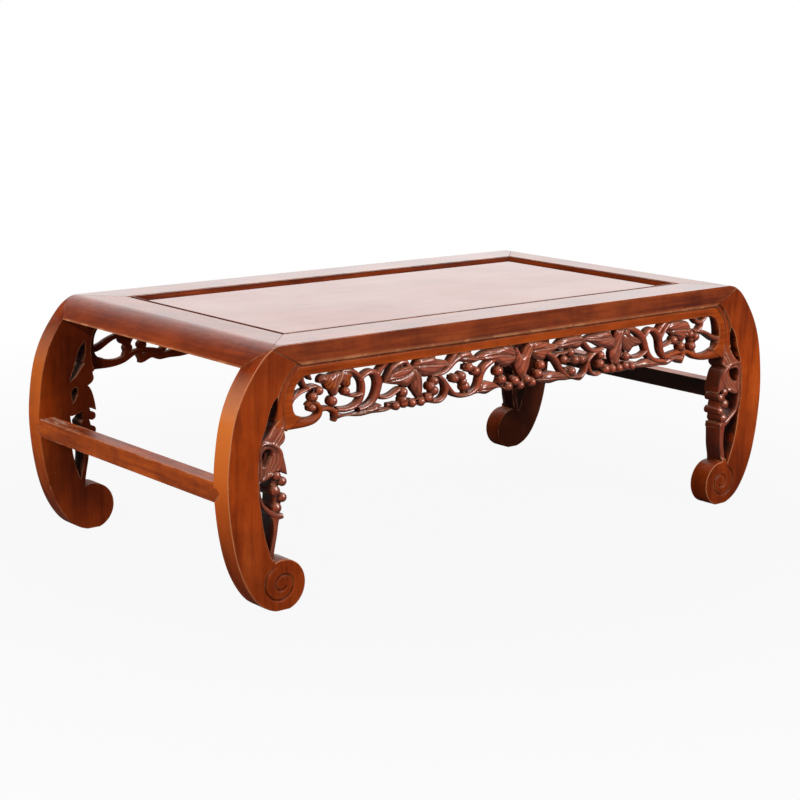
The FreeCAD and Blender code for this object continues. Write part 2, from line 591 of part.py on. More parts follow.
def apron_room():
    """The space that the right-hand leg's corner leaves for the apron's curved end."""
    curved = [spot(*point) for point in apron_end_shares]
    inner_x = apron_half - leg_reach / 2
    low_inner = FreeCAD.Vector(inner_x, 0, apron_bottom)
    high_inner = FreeCAD.Vector(inner_x, 0, rail_bottom)
    edges = [open_edge(curved), Part.makeLine(curved[-1], low_inner),
             Part.makeLine(low_inner, high_inner), Part.makeLine(high_inner, curved[0])]
    face = Part.Face(Part.Wire(edges))
    face.translate(FreeCAD.Vector(0, -half_depth, 0))
    return face.extrude(FreeCAD.Vector(0, leg_thickness, 0))


def front_rail():
    """The front long rail, mitred in plan and grooved for the panel."""
    outer_x = opening_half_length + long_rail_width
    corners = [(-opening_half_length, -opening_half_depth), (opening_half_length, -opening_half_depth),
               (outer_x, -half_depth), (-outer_x, -half_depth)]
    blank = prism([FreeCAD.Vector(x, y, rail_bottom) for x, y in corners],
                  FreeCAD.Vector(0, 0, rail_height))
    round_edges = []
    for edge in blank.Edges:
        middle = edge.CenterOfMass
        on_front = abs(middle.y + half_depth) < edge_round
        if on_front and abs(middle.x) < edge_round:
            round_edges.append(edge)
    rounded = blank.makeFillet(edge_round, round_edges)
    tenons = []
    for side in (-1, 1):
        ends = sorted([side * opening_half_length, side * (opening_half_length + frame_tenon_reach)])
        outer_y = -opening_half_depth - frame_tenon_inset - frame_tenon_width
        tenons.append(box((ends[0], outer_y, rail_bottom + frame_tenon_lift),
                          (ends[1], outer_y + frame_tenon_width,
                           rail_bottom + frame_tenon_lift + frame_tenon_thickness)))
    rail = rounded.multiFuse(tenons)
    envelope = end_envelope()
    both_ends = envelope.fuse(mirrored(envelope, True, False))
    return rail.common(both_ends).cut(panel_slot())


def right_end_rail():
    """The right end rail, whose outer side rolls over along the legs' curve."""
    outer_x = opening_half_length + long_rail_width
    corners = [(opening_half_length, -opening_half_depth), (outer_x, -half_depth),
               (half_length, -half_depth), (half_length, half_depth),
               (outer_x, half_depth), (opening_half_length, opening_half_depth)]
    blank = prism([FreeCAD.Vector(x, y, rail_bottom) for x, y in corners],
                  FreeCAD.Vector(0, 0, rail_height))
    return blank.common(end_envelope()).cut(panel_slot())


def panel_slot():
    """The groove that runs round inside the frame."""
    reach_x = opening_half_length + groove_depth
    reach_y = opening_half_depth + groove_depth
    return box((-reach_x, -reach_y, tongue_bottom), (reach_x, reach_y, tongue_top))


def right_batten():
    sides = [-batten_width / 2, batten_width / 2]
    body = box((batten_place + sides[0], -opening_half_depth, rail_bottom),
               (batten_place + sides[1], opening_half_depth, panel_bottom))
    profile = []
    for across, height in ((-batten_neck, panel_bottom), (batten_neck, panel_bottom),
                           (batten_dovetail, panel_bottom + dovetail_depth),
                           (-batten_dovetail, panel_bottom + dovetail_depth)):
        profile.append(FreeCAD.Vector(batten_place + across / 2, -opening_half_depth, height))
    dovetail = prism(profile, FreeCAD.Vector(0, 2 * opening_half_depth, 0))
    tenon_low = (rail_bottom + panel_bottom - batten_tenon_thickness) / 2
    reach = opening_half_depth + batten_tenon_length
    tenon = box((batten_place - batten_neck / 2, -reach, tenon_low),
                (batten_place + batten_neck / 2, reach, tenon_low + batten_tenon_thickness))
    return one_solid(body.multiFuse([dovetail, tenon]))


def panel_board(battens):
    reach_x = opening_half_length + groove_depth - panel_play
    reach_y = opening_half_depth + groove_depth - panel_play
    tongue = box((-reach_x, -reach_y, tongue_bottom), (reach_x, reach_y, tongue_top))
    face_x = opening_half_length - shoulder_gap
    face_y = opening_half_depth - shoulder_gap
    face = box((-face_x, -face_y, tongue_bottom), (face_x, face_y, panel_top))
    field_x = opening_half_length - rebate_margin
    field_y = opening_half_depth - rebate_margin
    field = box((-field_x, -field_y, panel_bottom), (field_x, field_y, tongue_top))
    board = tongue.multiFuse([face, field])
    for batten in battens:
        board = board.cut(batten)
    return one_solid(board)


def mirrored(shape, across_x, across_y):
    """The same piece on the other side of the table."""
    origin = FreeCAD.Vector(0, 0, 0)
    if across_x:
        shape = shape.mirror(origin, FreeCAD.Vector(1, 0, 0))
    if across_y:
        shape = shape.mirror(origin, FreeCAD.Vector(0, 1, 0))
    return shape


def turned(shape):
    """The same piece turned half round, so that the front becomes the back."""
    copy = shape.copy()
    copy.rotate(FreeCAD.Vector(0, 0, 0), FreeCAD.Vector(0, 0, 1), 180)
    return copy


def write(name, shape):
    solid = one_solid(shape)
    if not solid.isValid():
        print("not valid:", name)
    solid.exportStep("parts/%s.step" % name)
    bounds = solid.BoundBox
    print("%-20s %6.1f x %6.1f x %6.1f mm, %d faces" % (
        name, bounds.XLength, bounds.YLength, bounds.ZLength, len(solid.Faces)))


stretchers = {"right": right_stretcher()}
stretchers["left"] = mirrored(stretchers["right"], True, False)
aprons = {"front": front_apron()}
aprons["back"] = turned(aprons["front"])
legs = {}
for side_name, across_x in (("left", True), ("right", False)):
    whole_leg = front_leg(side_name)
    for face_name, across_y in (("front", False), ("back", True)):
        leg = mirrored(whole_leg, across_x, across_y)
        legs["%s_%s" % (face_name, side_name)] = leg.cut(stretchers[side_name])
battens = {"right": right_batten()}
battens["left"] = mirrored(battens["right"], True, False)
grooved = front_rail().cut(front_apron_joints()[0])
rails = {"front": grooved, "back": turned(grooved)}
for name, rail in rails.items():
    for side_name in ("left", "right"):
        rail = rail.cut(legs["%s_%s" % (name, side_name)]).cut(battens[side_name])
    rails[name] = rail
ends = {"right": right_end_rail()}
ends["left"] = mirrored(ends["right"], True, False)
for name, end in ends.items():
    for face_name in ("front", "back"):
        end = end.cut(legs["%s_%s" % (face_name, name)]).cut(rails[face_name])
    ends[name] = end

for name, rail in rails.items():
    write("top_rail_" + name, rail)
for name, end in ends.items():
    write("top_end_" + name, end)
write("top_panel", panel_board(battens.values()))
for name, batten in battens.items():
    write("panel_batten_" + name, batten)
for name, leg in legs.items():
    write("leg_" + name, leg)
for name, stretcher in stretchers.items():
    write("stretcher_" + name, stretcher)
for name, apron in aprons.items():
    write("apron_" + name, apron)
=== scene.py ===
import math

import bpy
import numpy as np
from mathutils import Matrix, Vector
from mathutils.kdtree import KDTree


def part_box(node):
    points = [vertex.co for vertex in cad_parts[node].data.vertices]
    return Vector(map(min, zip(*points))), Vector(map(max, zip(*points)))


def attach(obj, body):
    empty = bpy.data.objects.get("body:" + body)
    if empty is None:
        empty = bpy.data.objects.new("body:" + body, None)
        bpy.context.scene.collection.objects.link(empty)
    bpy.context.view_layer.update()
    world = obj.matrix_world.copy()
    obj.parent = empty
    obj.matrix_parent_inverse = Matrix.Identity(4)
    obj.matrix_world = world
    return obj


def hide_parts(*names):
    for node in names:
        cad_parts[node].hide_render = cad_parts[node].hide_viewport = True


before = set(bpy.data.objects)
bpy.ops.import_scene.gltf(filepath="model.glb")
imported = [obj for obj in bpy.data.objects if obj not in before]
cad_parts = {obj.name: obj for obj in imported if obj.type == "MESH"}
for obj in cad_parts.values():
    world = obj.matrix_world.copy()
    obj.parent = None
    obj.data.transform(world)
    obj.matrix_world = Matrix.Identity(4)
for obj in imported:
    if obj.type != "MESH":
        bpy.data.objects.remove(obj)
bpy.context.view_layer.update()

mm = 0.001
print("frame loaded:", len(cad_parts), "nodes")


# The carving, seen from the front in mm: X along the table, Z above the floor.
# A leaf's outline turns sharply at a point given twice. A vine's third value is its width.

# The outer curve of a leg, from the flat top round the bulge to the foot's flat
outerCurve = [
    (374, 312), (389.6, 310.2), (399.5, 305.5), (419.2, 285.5), (431.6, 267.6), (447.3, 231.7),
    (454.2, 196.3), (457, 163), (455.3, 126.4), (450.4, 91.9), (441.6, 58), (425.6, 25.8), (412, 10.4),
    (400, 3.2), (390, 0)]

# The end of an apron, from the rail down, where the leg and the apron meet
apronEnd = [
    (354, 285.5), (361, 281), (367.5, 274.5), (373, 265.5), (377, 255), (379, 243), (378, 230),
    (376, 218), (374, 211)]

# The plain inner edge of the leg's C, from the scroll up to the corner
innerCurve = [
    (396, 62), (399, 70), (404, 84), (409, 104.6), (412.3, 128), (415.2, 151.3), (414.2, 179.4),
    (410, 207), (405.4, 217.5), (398.5, 239), (388, 253.5)]

# The bracket of a leg
fanLeaf = [
    (379, 230), (379, 230), (389, 223), (396, 215), (410, 203), (410, 203), (402, 197),
    (390, 193), (382, 195.5), (377.5, 199), (375.5, 205), (376.5, 212), (374, 213), (374, 213)]
curledLeaf = [
    (412, 202), (412, 202), (400, 200.5), (390, 197.5), (382, 191), (378, 182), (375, 170),
    (373.5, 160), (373.5, 160), (384, 164), (392, 162), (402, 158), (414, 157), (414, 157),
    (415, 170), (414, 186)]
vineBorder = [
    (413, 196, 5), (414.5, 180, 5), (414.5, 160, 5), (412.5, 143, 5), (408.5, 130.5, 5.5),
    (402, 122.5, 6), (394, 116, 7), (386, 112.5, 8), (379, 112, 6)]
bunchStalk = [(388, 163, 8), (389, 150, 9), (386, 136, 9), (388, 122, 9), (390, 112, 9)]
bracketGrapes = [
    (388, 160.5, 5.5), (380, 153, 5.6), (390, 143, 6.4), (380, 134, 5.5), (388, 122.5, 6.4)]
stems = {
    "left": [
        (389, 113, 13), (389, 104, 7.5), (390, 93, 6), (392.5, 81, 6), (395, 70, 7), (396, 56, 8)],
    "right": [
        (383, 116, 14), (382, 104, 10), (382, 93, 8.5), (383, 81, 8), (385.5, 70, 8), (387, 56, 9)]}
# The carver let the right-hand brackets reach further in, below their corners
bracketLean = {"left": 0.5, "right": 3.5}
bracketRoot = 403.0    # points further out than this stay with the C

# The aprons' carving, seen from the front, left to right
apronBand = [
    (0, 273), (-344, 273), (-351, 271), (-358, 266), (-363, 258.5), (-365.5, 249), (-365.5, 239),
    (-363.5, 231.5), (-359, 227), (-352, 225)]
leafOutlines = {
    "lobed leaf": [
        (-326, 262), (-325, 267), (-320, 270), (-311, 269), (-303, 272), (-293, 274), (-284, 272),
        (-277, 265), (-280, 260), (-280, 254), (-285, 250.5), (-290, 253), (-294, 256), (-297, 250),
        (-300, 244), (-305, 243), (-309, 249), (-314, 252), (-319, 259)],
    "trailing leaf": [
        (-304, 221), (-290, 219.5), (-276, 218.5), (-262, 220), (-250, 222.5), (-242, 225.5),
        (-232, 222), (-232, 222), (-237, 219.5), (-228, 218.5), (-216, 216.5), (-216, 216.5),
        (-228, 214), (-248, 214.5), (-264, 213.5), (-284, 216), (-294, 215.5), (-304, 216)],
    "eyed leaf": [
        (-231, 249.5), (-231, 249.5), (-227, 257), (-222, 265), (-217, 271), (-208, 274),
        (-198, 274), (-191, 269.5), (-185, 264), (-181, 258), (-182, 251), (-187, 245),
        (-192, 240.5), (-198, 239.5), (-204, 243), (-212, 245), (-222, 247)],
    "fold leaf left": [
        (-183, 264), (-176, 258), (-171, 250), (-169.5, 240), (-168.5, 222), (-168.5, 222),
        (-176, 224), (-182, 231), (-188, 240), (-185, 250)],
    "leaf pointing right": [
        (-185, 262), (-182, 268), (-177, 274), (-166, 274), (-154, 274), (-148, 269), (-138, 266.5),
        (-125, 260), (-125, 260), (-134, 256), (-142, 252), (-150, 249), (-160, 248.5),
        (-170, 249.5), (-178, 255)],
    "fold leaf over the bowl": [
        (-121, 262), (-117, 268), (-109, 274), (-96, 274), (-89, 267), (-83, 263.5), (-75, 259.5),
        (-75, 259.5), (-84, 257.5), (-94, 256.5), (-102, 259), (-111, 261)],
    "leaf under the bowl": [
        (-113, 217), (-100, 215.5), (-90, 216), (-80, 217.5), (-67, 215), (-54, 218.5),
        (-40, 219.5), (-40, 219.5), (-46, 224), (-56, 229), (-67, 231.5), (-76, 229), (-84, 221),
        (-98, 219.5)],
    "middle leaf left": [
        (-84, 261.5), (-84, 261.5), (-73, 269), (-62, 271.5), (-50, 272), (-40, 274), (-30, 274),
        (-21, 269), (-17, 261), (-17.5, 253), (-24, 248), (-33, 245.5), (-41, 247.5), (-50, 253),
        (-60, 254.5), (-71, 257.5)],
    "centre fold leaf": [
        (-17, 258), (-18, 249), (-14, 238), (-4, 224), (-4, 224), (1, 231), (6, 241), (9, 252),
        (15, 265), (17, 274), (17, 274), (4, 274), (-1, 266), (-6, 258), (-11, 265), (-17, 268)],
    "middle leaf right": [
        (8, 268), (12, 274), (22, 274), (33, 270.5), (45, 266.5), (59, 264), (59, 264), (53, 257.5),
        (45, 253.5), (37, 251.5), (32, 246), (26, 245.5), (17, 250), (9, 258)],
    "leaf at the foot": [
        (20, 221), (27, 218), (36, 216), (46, 215), (58, 216.5), (72, 215.5), (86, 215), (102, 213),
        (106, 217), (94, 220.5), (80, 221), (66, 226), (54, 229), (44, 230.5), (36, 228.5),
        (27, 230), (20, 226)],
    "small leaf over the grapes": [
        (53, 264.5), (60, 270), (70, 274), (94, 274), (101, 268), (103, 263), (96, 256.5),
        (88, 254.5), (78, 257), (64, 257.5), (56, 260)],
    "leaf pointing left": [
        (104, 266), (104, 266), (114, 270), (126, 272), (138, 274), (148, 274), (155, 267),
        (161, 259), (161, 251), (156, 247), (146, 249), (134, 252.5), (124, 257.5), (113, 261)],
    "fold leaf right": [
        (161, 274), (160, 262), (156, 249), (153, 242), (156, 231), (159, 224), (159, 224),
        (167, 223), (171, 232), (174, 244), (176, 258), (182, 274), (182, 274)],
    "lobed tip leaf": [
        (177, 272), (187, 270), (191, 263), (202, 258), (213, 251), (213, 251), (206, 246),
        (197, 245), (190, 239), (183, 240), (177, 246), (173, 256)],
    "crown leaf": [
        (259, 264), (264, 271), (274, 274), (288, 272), (300, 270), (307, 264), (309, 257.5),
        (302, 253), (298, 245), (292, 241), (285, 246), (275, 251), (267, 257)],
    "trailing leaf right": [
        (198, 221), (210, 223), (222, 226), (238, 222), (254, 220), (268, 224), (282, 225),
        (294, 222), (296, 212), (296, 212), (284, 214.5), (276, 217), (268, 214), (252, 214),
        (232, 214), (214, 215.5), (203, 217)]}
vines = {
    "corner stem": [(-352, 275, 6), (-350, 266, 6), (-346, 260, 6), (-341, 255, 7)],
    "corner hook": [(-345, 275, 5), (-341, 270.5, 4), (-337.5, 266.5, 2.5)],
    "corner arc": [
        (-369, 243, 7), (-361, 248.5, 5.5), (-354, 252.5, 5), (-346, 255, 5), (-338, 257.5, 5),
        (-330, 257, 6), (-324, 251, 6.5)],
    "corner scroll": [
        (-372, 218, 14), (-358, 218, 14), (-345, 217, 11), (-334, 218, 9), (-326, 223.5, 8),
        (-325, 231, 7.5), (-329, 236.5, 7), (-336, 238, 6.5), (-341, 235, 5)],
    "leaf curl": [
        (-325, 229, 6), (-316, 229.5, 6), (-307, 227, 6.5), (-301.5, 221.5, 6), (-302, 215.5, 4),
        (-304, 213, 3)],
    "ring": [
        (-292, 271, 7), (-280, 270, 7), (-271, 265, 7), (-264, 257.5, 7), (-261.5, 248, 7),
        (-263, 238, 7), (-268, 230, 7), (-277, 225.5, 6.5), (-288, 224.5, 6.5), (-300, 226, 6.5)],
    "ring stem": [(-288, 244, 6), (-280, 240.5, 4.5), (-272, 239, 4.5), (-262, 241, 5)],
    "crescent": [
        (-266, 257, 5), (-258, 263, 6.5), (-249, 264.5, 8), (-241, 260, 10), (-237.5, 250, 10.5),
        (-240, 239.5, 9.5), (-246, 230, 8.5), (-256, 224, 7), (-268, 222, 6)],
    "eyed leaf stem": [(-240, 260, 8), (-234, 267, 7.5), (-226, 274, 8)],
    "grape stem": [
        (-240, 235, 5), (-231, 231.5, 5), (-222, 232, 5), (-214, 235, 5), (-207, 238, 5.5),
        (-200, 236, 7)],
    "grape row left": [(-223, 220.5, 6), (-208, 220, 7), (-186, 219.5, 7), (-158, 220, 7)],
    "double stem": [(-150, 249, 5), (-138, 250.5, 6), (-129, 255, 7.5), (-120, 262, 8), (-112, 266, 8)],
    "double stem back": [(-130, 258, 5), (-124, 266, 6), (-116, 274, 7)],
    "lower ring": [
        (-152, 247.5, 6), (-143, 245.5, 6.5), (-136, 240, 7), (-132, 231, 7), (-134, 222.5, 7),
        (-142, 216.5, 6), (-152, 217, 6), (-160, 220, 7)],
    "bowl vine": [
        (-136, 241, 6), (-128, 231, 6.5), (-120, 222.5, 6.5), (-110, 218.5, 6), (-98, 218, 5.5),
        (-88, 220.5, 6.5), (-80.5, 226, 8), (-77, 234, 9), (-74.5, 242, 9.5), (-69, 249, 9),
        (-61, 254, 8), (-54, 257, 8)],
    "grape row middle": [
        (-47, 229, 7), (-37, 223, 7), (-27, 220, 6.5), (-17, 222, 6.5), (-8, 220, 6.5),
        (3, 222, 6.5), (13, 221, 7), (22, 227, 7), (27, 238, 6.5)],
    "falling vine": [
        (38, 255, 7), (46, 250.5, 7.5), (54, 243.5, 8), (60.5, 235, 8), (66, 227.5, 7),
        (74, 221.5, 6), (86, 218.5, 5.5), (100, 217, 5)],
    "tendril": [(50, 249, 4), (57, 252, 3.5), (66, 252, 3.5), (76, 252.5, 5)],
    "long vine": [
        (96, 269, 8), (103, 261.5, 7.5), (110, 255, 7), (117, 250, 6.5), (126, 248, 6.5),
        (138, 249.5, 6)],
    "bowl vine right": [
        (130, 247.5, 6), (120, 243.5, 6.5), (113, 237.5, 7), (109.5, 229.5, 6.5), (106, 222, 6),
        (99, 217, 5.5)],
    "small bowl": [(112, 236, 6), (114, 227, 5.5), (119, 219.5, 5), (127, 216.5, 5), (135, 218, 5)],
    "grape row right": [
        (128, 231, 7), (137, 227, 7), (146, 221.5, 7), (160, 219.5, 7), (178, 219.5, 7),
        (200, 219, 7)],
    "hoop": [
        (180, 272, 6), (192, 270, 7.5), (201, 266.5, 9), (210, 260.5, 10), (217, 252, 10),
        (221.5, 242, 9), (226, 233, 8.5), (234, 225.5, 7.5), (245, 221, 7), (258, 219, 6.5)],
    "hoop stem": [
        (186, 233, 5), (196, 231.5, 4.5), (206, 231.5, 4.5), (215, 233.5, 4.5), (222, 238, 5)],
    "crescent right": [
        (218, 258, 6), (224, 264, 7), (232, 265, 7.5), (241, 260.5, 9), (247.5, 252, 9),
        (249.5, 242, 8.5), (252.5, 233, 8), (259, 226, 7), (268, 222, 6)],
    "crown stem": [(244, 260, 8), (250, 267, 8), (260, 274, 8)],
    "crown stem inner": [(250, 254, 6), (256, 262, 6), (264, 269, 7)],
    "hanging stem": [(250, 240, 5), (260, 241.5, 4.5), (269, 244, 5), (277, 246, 6)],
    "corner scroll right": [
        (372, 218, 14), (357, 218, 14), (344, 216.5, 11), (330, 217, 9), (317, 220.5, 8),
        (306, 226, 7), (296, 228.5, 6.5), (284, 228.5, 6), (271, 227, 5.5), (259, 224, 5)],
    "corner scroll curl": [(297, 228, 8), (294, 221, 8), (292, 215, 5)],
    "corner arc right": [
        (300, 256, 6), (312, 255.5, 5.5), (323, 253.5, 5.5), (334, 251.5, 6), (344, 247.5, 7),
        (354, 242, 8), (366, 238, 8)],
    "corner stem right": [
        (313, 275, 5), (319, 268.5, 5.5), (327, 265.5, 6.5), (335, 269, 6), (341, 275, 6)],
    "corner drop right": [(331, 265, 6), (329, 258.5, 5.5), (323, 254, 5)],
    "twig right": [(300, 252, 7), (309, 247, 7), (313, 239, 7), (315, 229, 7), (318, 222, 6)]}
grapes = [
    (-334, 245.5, 5.6), (-326, 252, 5.6), (-336, 233, 5), (-287, 246.5, 5), (-306, 237, 6),
    (-200, 234, 6.4), (-200, 225, 5.5), (-211, 218.7, 5.2), (-199, 220.5, 5.8),
    (-186, 219.2, 5.6), (-172, 219.2, 5.6), (-151, 242, 5.8), (-151, 230, 6), (-160, 222, 6),
    (-157, 236, 5.5), (-118, 241, 5.8), (-107, 242.5, 6.2), (-95, 252, 6), (-84, 246, 6),
    (-101, 229, 6.4), (-105, 236, 5), (-46, 241.5, 6.4), (-40, 230, 6.4), (-28.5, 219.8, 5.8),
    (-17, 225.5, 6.2), (-8, 219, 5.6), (3, 225.5, 5.4), (12, 220.5, 6), (23, 230, 6.4),
    (27, 241, 6.4), (68, 243, 6.4), (80, 251, 6.6), (89, 240, 6.2), (100, 239.5, 6),
    (83, 226, 6.4), (135, 241.5, 5.8), (135, 230, 6.4), (146, 221.5, 6.2), (158, 220.5, 6.2),
    (171, 220, 5.8), (183, 221.5, 5.8), (195, 219.5, 5.4), (184, 234, 6.2), (276, 246, 6.2),
    (291, 236, 6.4), (309, 251, 5.6), (320, 246.5, 6.4), (313, 234, 6.4)]
links = [
    (-125, 243, -116, 241, 6), (-103, 253, -93, 252, 7), (-95, 250, -84, 246, 6), (-84, 246, -76, 243, 6),
    (-101, 226, -99, 218, 6), (-46, 242, -40, 252, 7), (-43, 237, -41, 232, 7), (27, 241, 27, 250, 7),
    (66, 246, 66, 253, 4), (80, 251, 80, 259, 7), (70, 243, 90, 240, 6), (89, 240, 112, 240, 5),
    (83, 226, 80, 218, 7), (72, 229, 83, 227, 7), (135, 241, 136, 250, 6), (133, 236, 134, 228, 6),
    (135, 236, 135, 242, 6), (176, 238, 184, 234, 7), (276, 246, 280, 252, 7), (286, 243, 291, 236, 7),
    (291, 236, 291, 228, 7), (320, 246, 316, 254, 6), (320, 246, 313, 236, 6), (-157, 236, -152, 230, 7),
    (-151, 242, -152, 250, 6), (-157, 222, -152, 230, 6), (-334, 245, -331, 256, 6),
    (-306, 237, -304, 229, 6), (-200, 234, -200, 241, 7), (-200, 228, -200, 222, 7)]

# Where each leaf's midrib starts, how it bends and where its tip is
leafRibs = {
    "lobed leaf": [(-296, 272), (-300, 258), (-303, 244)],
    "trailing leaf": [(-304, 218), (-262, 217.5), (-218, 216.5)],
    "eyed leaf": [(-182, 262), (-200, 253), (-229, 249.5)],
    "fold leaf left": [(-180, 260), (-173, 244), (-169, 224)],
    "leaf pointing right": [(-184, 264), (-158, 263), (-127, 260)],
    "fold leaf over the bowl": [(-119, 265), (-98, 265), (-77, 259.5)],
    "leaf under the bowl": [(-112, 217.5), (-78, 221), (-42, 220)],
    "middle leaf left": [(-20, 258), (-48, 263), (-83, 261.5)],
    "centre fold leaf": [(14, 273), (4, 252), (-4, 226)],
    "middle leaf right": [(12, 262), (32, 262), (57, 263)],
    "leaf at the foot": [(22, 223), (60, 221), (104, 215)],
    "small leaf over the grapes": [(101, 265), (78, 265), (55, 263)],
    "leaf pointing left": [(159, 264), (134, 264), (106, 266)],
    "fold leaf right": [(178, 273), (168, 248), (159, 226)],
    "lobed tip leaf": [(178, 264), (194, 255), (211, 251)],
    "crown leaf": [(262, 260), (284, 260), (305, 258)],
    "trailing leaf right": [(198, 219), (246, 217), (295, 214)]}
fanRib = [(377, 213), (390, 207), (409, 203)]
curledRib = [(376, 162), (386, 178), (411, 196)]


# A smooth run through the points, with a corner where one is given twice
def throughPoints(points, closed, steps=8):
    def stretchRun(knots, ringed):
        if ringed:
            before, end, after = np.roll(knots, 1, 0), np.roll(knots, -1, 0), np.roll(knots, -2, 0)
            start = knots
        else:
            padded = np.vstack([2 * knots[0] - knots[1], knots, 2 * knots[-1] - knots[-2]])
            before, start, end, after = padded[:-3], padded[1:-2], padded[2:-1], padded[3:]
        run = []
        for i in range(len(start)):
            for t in np.arange(steps) / steps:
                run.append(0.5 * (2 * start[i] + (end[i] - before[i]) * t
                                  + (2 * before[i] - 5 * start[i] + 4 * end[i] - after[i]) * t ** 2
                                  + (3 * start[i] - before[i] - 3 * end[i] + after[i]) * t ** 3))
        return run if ringed else run + [knots[-1]]

    corners = [i for i in range(len(points)) if tuple(points[i][:2]) == tuple(points[i - 1][:2])]
    if not corners:
        return np.array(stretchRun(np.array(points, float), closed))
    if closed:
        points = points[corners[0]:] + points[:corners[0]]
    stretches = [[points[0]]]
    for point in points[1:]:
        if tuple(point[:2]) == tuple(stretches[-1][-1][:2]):
            stretches.append([point])
        else:
            stretches[-1].append(point)
    if closed and tuple(stretches[-1][-1][:2]) != tuple(points[0][:2]):
        stretches[-1].append(points[0])
    run = []
    for stretch in stretches:
        if len(stretch) > 1:
            run += stretchRun(np.array(stretch, float), False)
    return np.array(run)


# How far each spot is from a line, how far along the line, and on which side
def distanceTo(line, gridX, gridZ):
    nearest = np.full(gridX.shape, 1e9)
    along = np.zeros(gridX.shape)
    place = np.zeros(gridX.shape)
    side = np.zeros(gridX.shape)
    travelled = 0.0
    for i in range(len(line) - 1):
        startX, startZ = line[i][:2]
        runX, runZ = line[i + 1][0] - startX, line[i + 1][1] - startZ
        length = math.hypot(runX, runZ)
        if length < 1e-6:
            continue
        share = np.clip(((gridX - startX) * runX + (gridZ - startZ) * runZ) / length ** 2, 0, 1)
        away = np.hypot(gridX - startX - share * runX, gridZ - startZ - share * runZ)
        turned = runX * (gridZ - startZ) - runZ * (gridX - startX)
        closer = away < nearest
        side = np.where(closer, np.sign(turned), side)
        nearest = np.where(closer, away, nearest)
        along = np.where(closer, travelled + share * length, along)
        place = np.where(closer, i + share, place)
        travelled += length
    return {"away": nearest, "along": along, "place": place, "side": side}


def insideOf(ring, gridX, gridZ):
    inside = np.zeros(gridX.shape, bool)
    for start, end in zip(ring, np.roll(ring, -1, 0)):
        if start[1] == end[1]:
            continue
        between = (start[1] > gridZ) != (end[1] > gridZ)
        crossing = (end[0] - start[0]) * (gridZ - start[1]) / (end[1] - start[1]) + start[0]
        inside ^= between & (gridX < crossing)
    return inside


# A relief is a sheet of heights in mm over the front of a board: 0 is the sawn face
untouched = -50.0
fillRings = 5      # cells that a board's rim may reach past the carving's outlines


def blankRelief(lowX, highX, lowZ, highZ, step):
    spotsX, spotsZ = np.arange(lowX, highX, step), np.arange(lowZ, highZ, step)
    shape = (len(spotsZ), len(spotsX))
    return {"x": spotsX, "z": spotsZ, "step": step, "height": np.full(shape, untouched),
            "carving": np.ones(shape), "line": np.zeros(shape), "dark": np.zeros(shape)}


def windowOf(relief, line, margin):
    line = np.array([point[:2] for point in line], float)
    left, right = np.searchsorted(relief["x"], [line[:, 0].min() - margin, line[:, 0].max() + margin])
    low, high = np.searchsorted(relief["z"], [line[:, 1].min() - margin, line[:, 1].max() + margin])
    window = (slice(low, high), slice(left, right))
    gridX, gridZ = np.meshgrid(relief["x"][left:right], relief["z"][low:high])
    return window, gridX, gridZ


def raiseTo(relief, window, mask, height, carving=1.0):
    sheet = relief["height"][window]
    raised = mask & (height > sheet)
    relief["height"][window] = np.where(raised, height, sheet)
    relief["carving"][window] = np.where(raised, carving, relief["carving"][window])


# Heights that lie outside every outline follow the nearest ones, and then drop away
def fillOutwards(relief, depth):
    sheet, mark = relief["height"], relief["carving"]
    for ring in range(fillRings):
        empty = sheet <= untouched
        grown, grownMark = sheet.copy(), mark.copy()
        for axis, way in ((0, 1), (0, -1), (1, 1), (1, -1)):
            beside, besideMark = np.roll(sheet, way, axis), np.roll(mark, way, axis)
            better = empty & (beside > grown)
            grown = np.where(better, beside, grown)
            grownMark = np.where(better, besideMark, grownMark)
        sheet, mark = grown, grownMark
    relief["height"] = np.where(sheet <= untouched, depth, sheet)
    relief["carving"] = mark


# An outline laid on the relief, with what lies inside it and how far off its edge is
def outlineOn(relief, outline):
    ring = throughPoints(outline, True)[:, :2]
    window, gridX, gridZ = windowOf(relief, ring, 1)
    edge = distanceTo(np.vstack([ring, ring[:1]]), gridX, gridZ)["away"]
    inside = insideOf(ring, gridX, gridZ)
    return {"window": window, "x": gridX, "z": gridZ, "inside": inside, "edge": edge}


def swelling(edge, reach):
    return np.sin(np.clip(edge / reach, 0, 1) * math.pi / 2)


def roundOver(look, across):
    return look["edge"] + (look["crown"] - look["edge"]) * np.sqrt(1 - across ** 2)


lineSteps = 6      # points between two knots of a line
vineSkirt = 0.6    # how far a vine's side runs on past its edge


